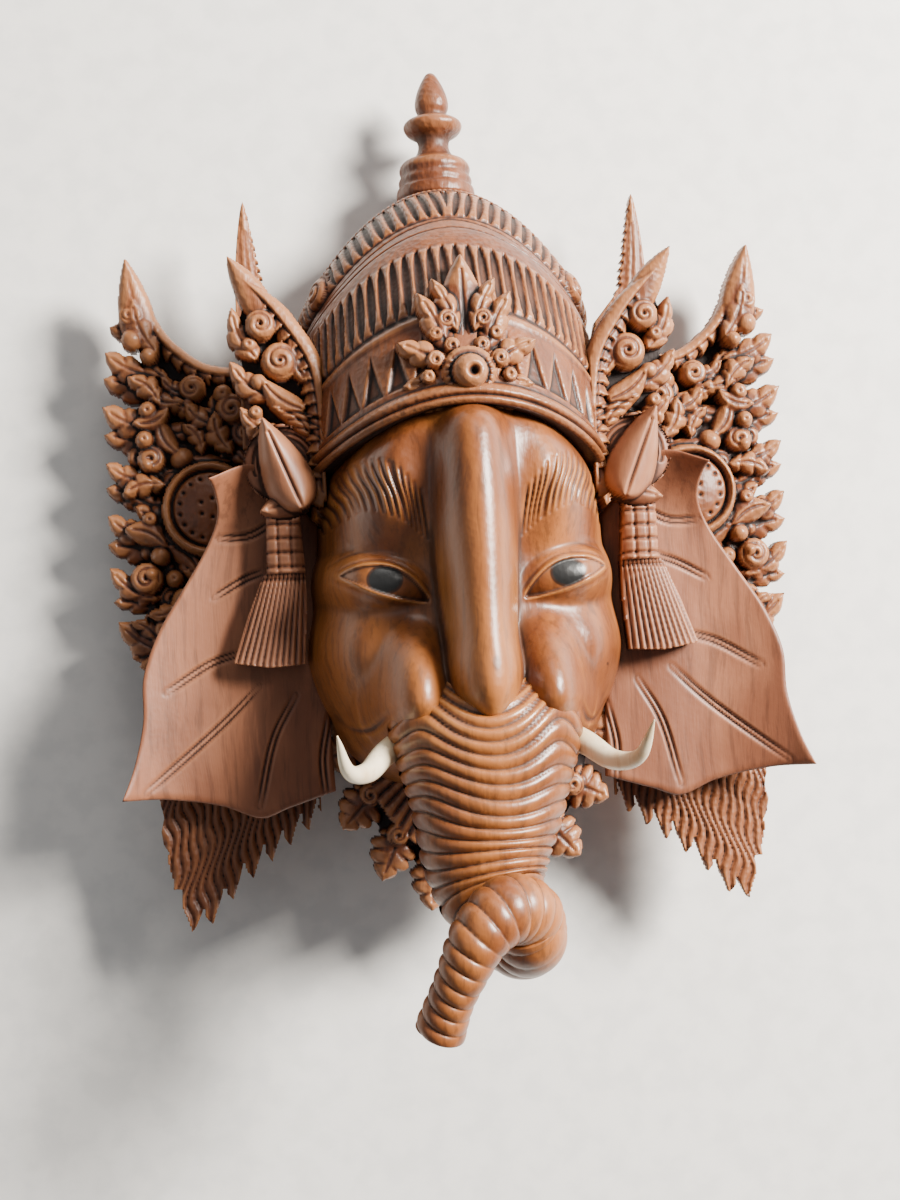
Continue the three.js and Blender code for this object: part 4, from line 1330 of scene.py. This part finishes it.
def makeBone():
    material = bpy.data.materials.new("polishedBone")
    material.use_nodes = True
    tree = material.node_tree
    shader = tree.nodes["Principled BSDF"]
    place = addNode(tree, "ShaderNodeTexCoord")
    grain = addNode(tree, "ShaderNodeGroup", node_tree=grainGroup)
    grain.inputs["Scale"].default_value = boneLook["grain scale"]
    tree.links.new(place.outputs["Object"], grain.inputs["Vector"])
    figure = rangeNode(tree, grain.outputs["Figure"], 0.45, 0.7)
    color = mixColor(tree, figure, boneLook["body"], boneLook["warm"])
    line = mathNode(tree, "MULTIPLY", rangeNode(tree, grain.outputs["Streak"], 0.56, 0.66), 0.3)
    color = mixColor(tree, line, color, boneLook["line"])
    # the root end is darker, where relief is low
    root = addNode(tree, "ShaderNodeAttribute", attribute_name="relief")
    color = mixColor(tree, rangeNode(tree, root.outputs["Fac"], 0.4, 0.05, 0, 0.6), color, boneLook["line"])
    tree.links.new(color, shader.inputs["Base Color"])
    shader.inputs["Roughness"].default_value = boneLook["roughness"]
    shader.inputs["Subsurface Weight"].default_value = boneLook["subsurface"]
    shader.inputs["Subsurface Radius"].default_value = boneLook["subsurface radius"]
    bump = addNode(tree, "ShaderNodeBump", Strength=boneLook["bump"], Distance=0.0004)
    tree.links.new(grain.outputs["Streak"], bump.inputs["Height"])
    tree.links.new(bump.outputs[0], shader.inputs["Normal"])
    return material


tuskPath = [(31, -68, 131), (46, -76, 141), (56, -84, 156), (65, -82, 172), (69.5, -66, 186)]
tuskDetail = {"grid": (32, 64), "radius": 6.2, "dark below x": 40, "pale above x": 56}
boneMaterial = makeBone()


def tuskRadius(t):
    return tuskDetail["radius"] * np.maximum(1 - t**1.6, 0.02) ** 0.7


def noRings(turn, t, reach, x):
    return 0 * t


def makeTusk(name, node, mirrored):
    bm = tubeGrid(tuskPath, *tuskDetail["grid"], tuskRadius, tuskRadius, noRings, 0.01)
    layer = bm.verts.layers.float["relief"]
    dark, pale = tuskDetail["dark below x"], tuskDetail["pale above x"]
    for vert in bm.verts:
        vert[layer] = min(1, max(0, (vert.co.x - dark) / (pale - dark)))
    finishPiece(bm, name, boneMaterial, node, mirrored)


makeTusk("tuskRight", "tusk_right", False)
makeTusk("tuskLeft", "tusk_left", True)
print("tusks made")

# stage, camera and light

floorLook = {"color": (0.74, 0.72, 0.69), "speckle": (0.68, 0.665, 0.64), "roughness": 0.85}


def makeFloor():
    material = bpy.data.materials.new("paleBackdrop")
    material.use_nodes = True
    tree = material.node_tree
    shader = tree.nodes["Principled BSDF"]
    place = addNode(tree, "ShaderNodeTexCoord")
    noise = addNode(tree, "ShaderNodeTexNoise", Scale=60.0, Detail=3.0)
    tree.links.new(place.outputs["Object"], noise.inputs["Vector"])
    speck = rangeNode(tree, noise.outputs["Fac"], 0.4, 0.65)
    tree.links.new(mixColor(tree, speck, floorLook["color"], floorLook["speckle"]), shader.inputs["Base Color"])
    shader.inputs["Roughness"].default_value = floorLook["roughness"]
    bm = bmesh.new()
    bmesh.ops.create_grid(bm, x_segments=2, y_segments=2, size=4)
    mesh = bpy.data.meshes.new("backdrop")
    bm.to_mesh(mesh)
    bm.free()
    mesh.materials.append(material)
    floor = bpy.data.objects.new("backdrop", mesh)
    floor.location.z = -0.0005
    scene.collection.objects.link(floor)


cameraPlace = (-86.14, -47.10, 894.63)  # on the drawing, as worked out from the photo
cameraAxes = (
    (0.99445287, -0.04878282, 0.0931865),
    (0.04361468, 0.99743731, 0.05671486),
    (-0.0957144, -0.05233596, 0.99403204),
)
cameraLens = 49.2


def makeCamera():
    data = bpy.data.cameras.new("photoView")
    data.lens = cameraLens
    data.sensor_width = 36
    camera = bpy.data.objects.new("photoView", data)
    turn = Matrix(cameraAxes).transposed().to_4x4()
    camera.matrix_world = Matrix.Translation(toFrame(*cameraPlace)) @ turn
    scene.collection.objects.link(camera)
    scene.camera = camera


lights = {
    "keyLight": {"place": (1.28, 0.62, 1.22), "size": 0.6, "power": 200, "color": (1.0, 0.95, 0.88)},
    "fillLight": {"place": (-1.2, 0.1, 1.3), "size": 1.4, "power": 3, "color": (0.95, 0.97, 1.0)},
    "topLight": {"place": (0.1, 1.5, 1.0), "size": 0.9, "power": 9, "color": (1.0, 0.97, 0.93)},
}
sky = {"color": (0.9, 0.92, 0.95), "strength": 0.26}


def makeLight(name, look):
    data = bpy.data.lights.new(name, "AREA")
    data.size = look["size"]
    data.energy = look["power"]
    data.color = look["color"]
    light = bpy.data.objects.new(name, data)
    light.location = look["place"]
    light.rotation_euler = (-Vector(look["place"])).to_track_quat("-Z", "Y").to_euler()
    scene.collection.objects.link(light)


makeFloor()
makeCamera()
for name, look in lights.items():
    makeLight(name, look)
world = bpy.data.worlds.new("paleStudio")
world.use_nodes = True
background = world.node_tree.nodes["Background"]
background.inputs["Color"].default_value = (*sky["color"], 1)
background.inputs["Strength"].default_value = sky["strength"]
scene.world = world
print("stage, camera and lights set")
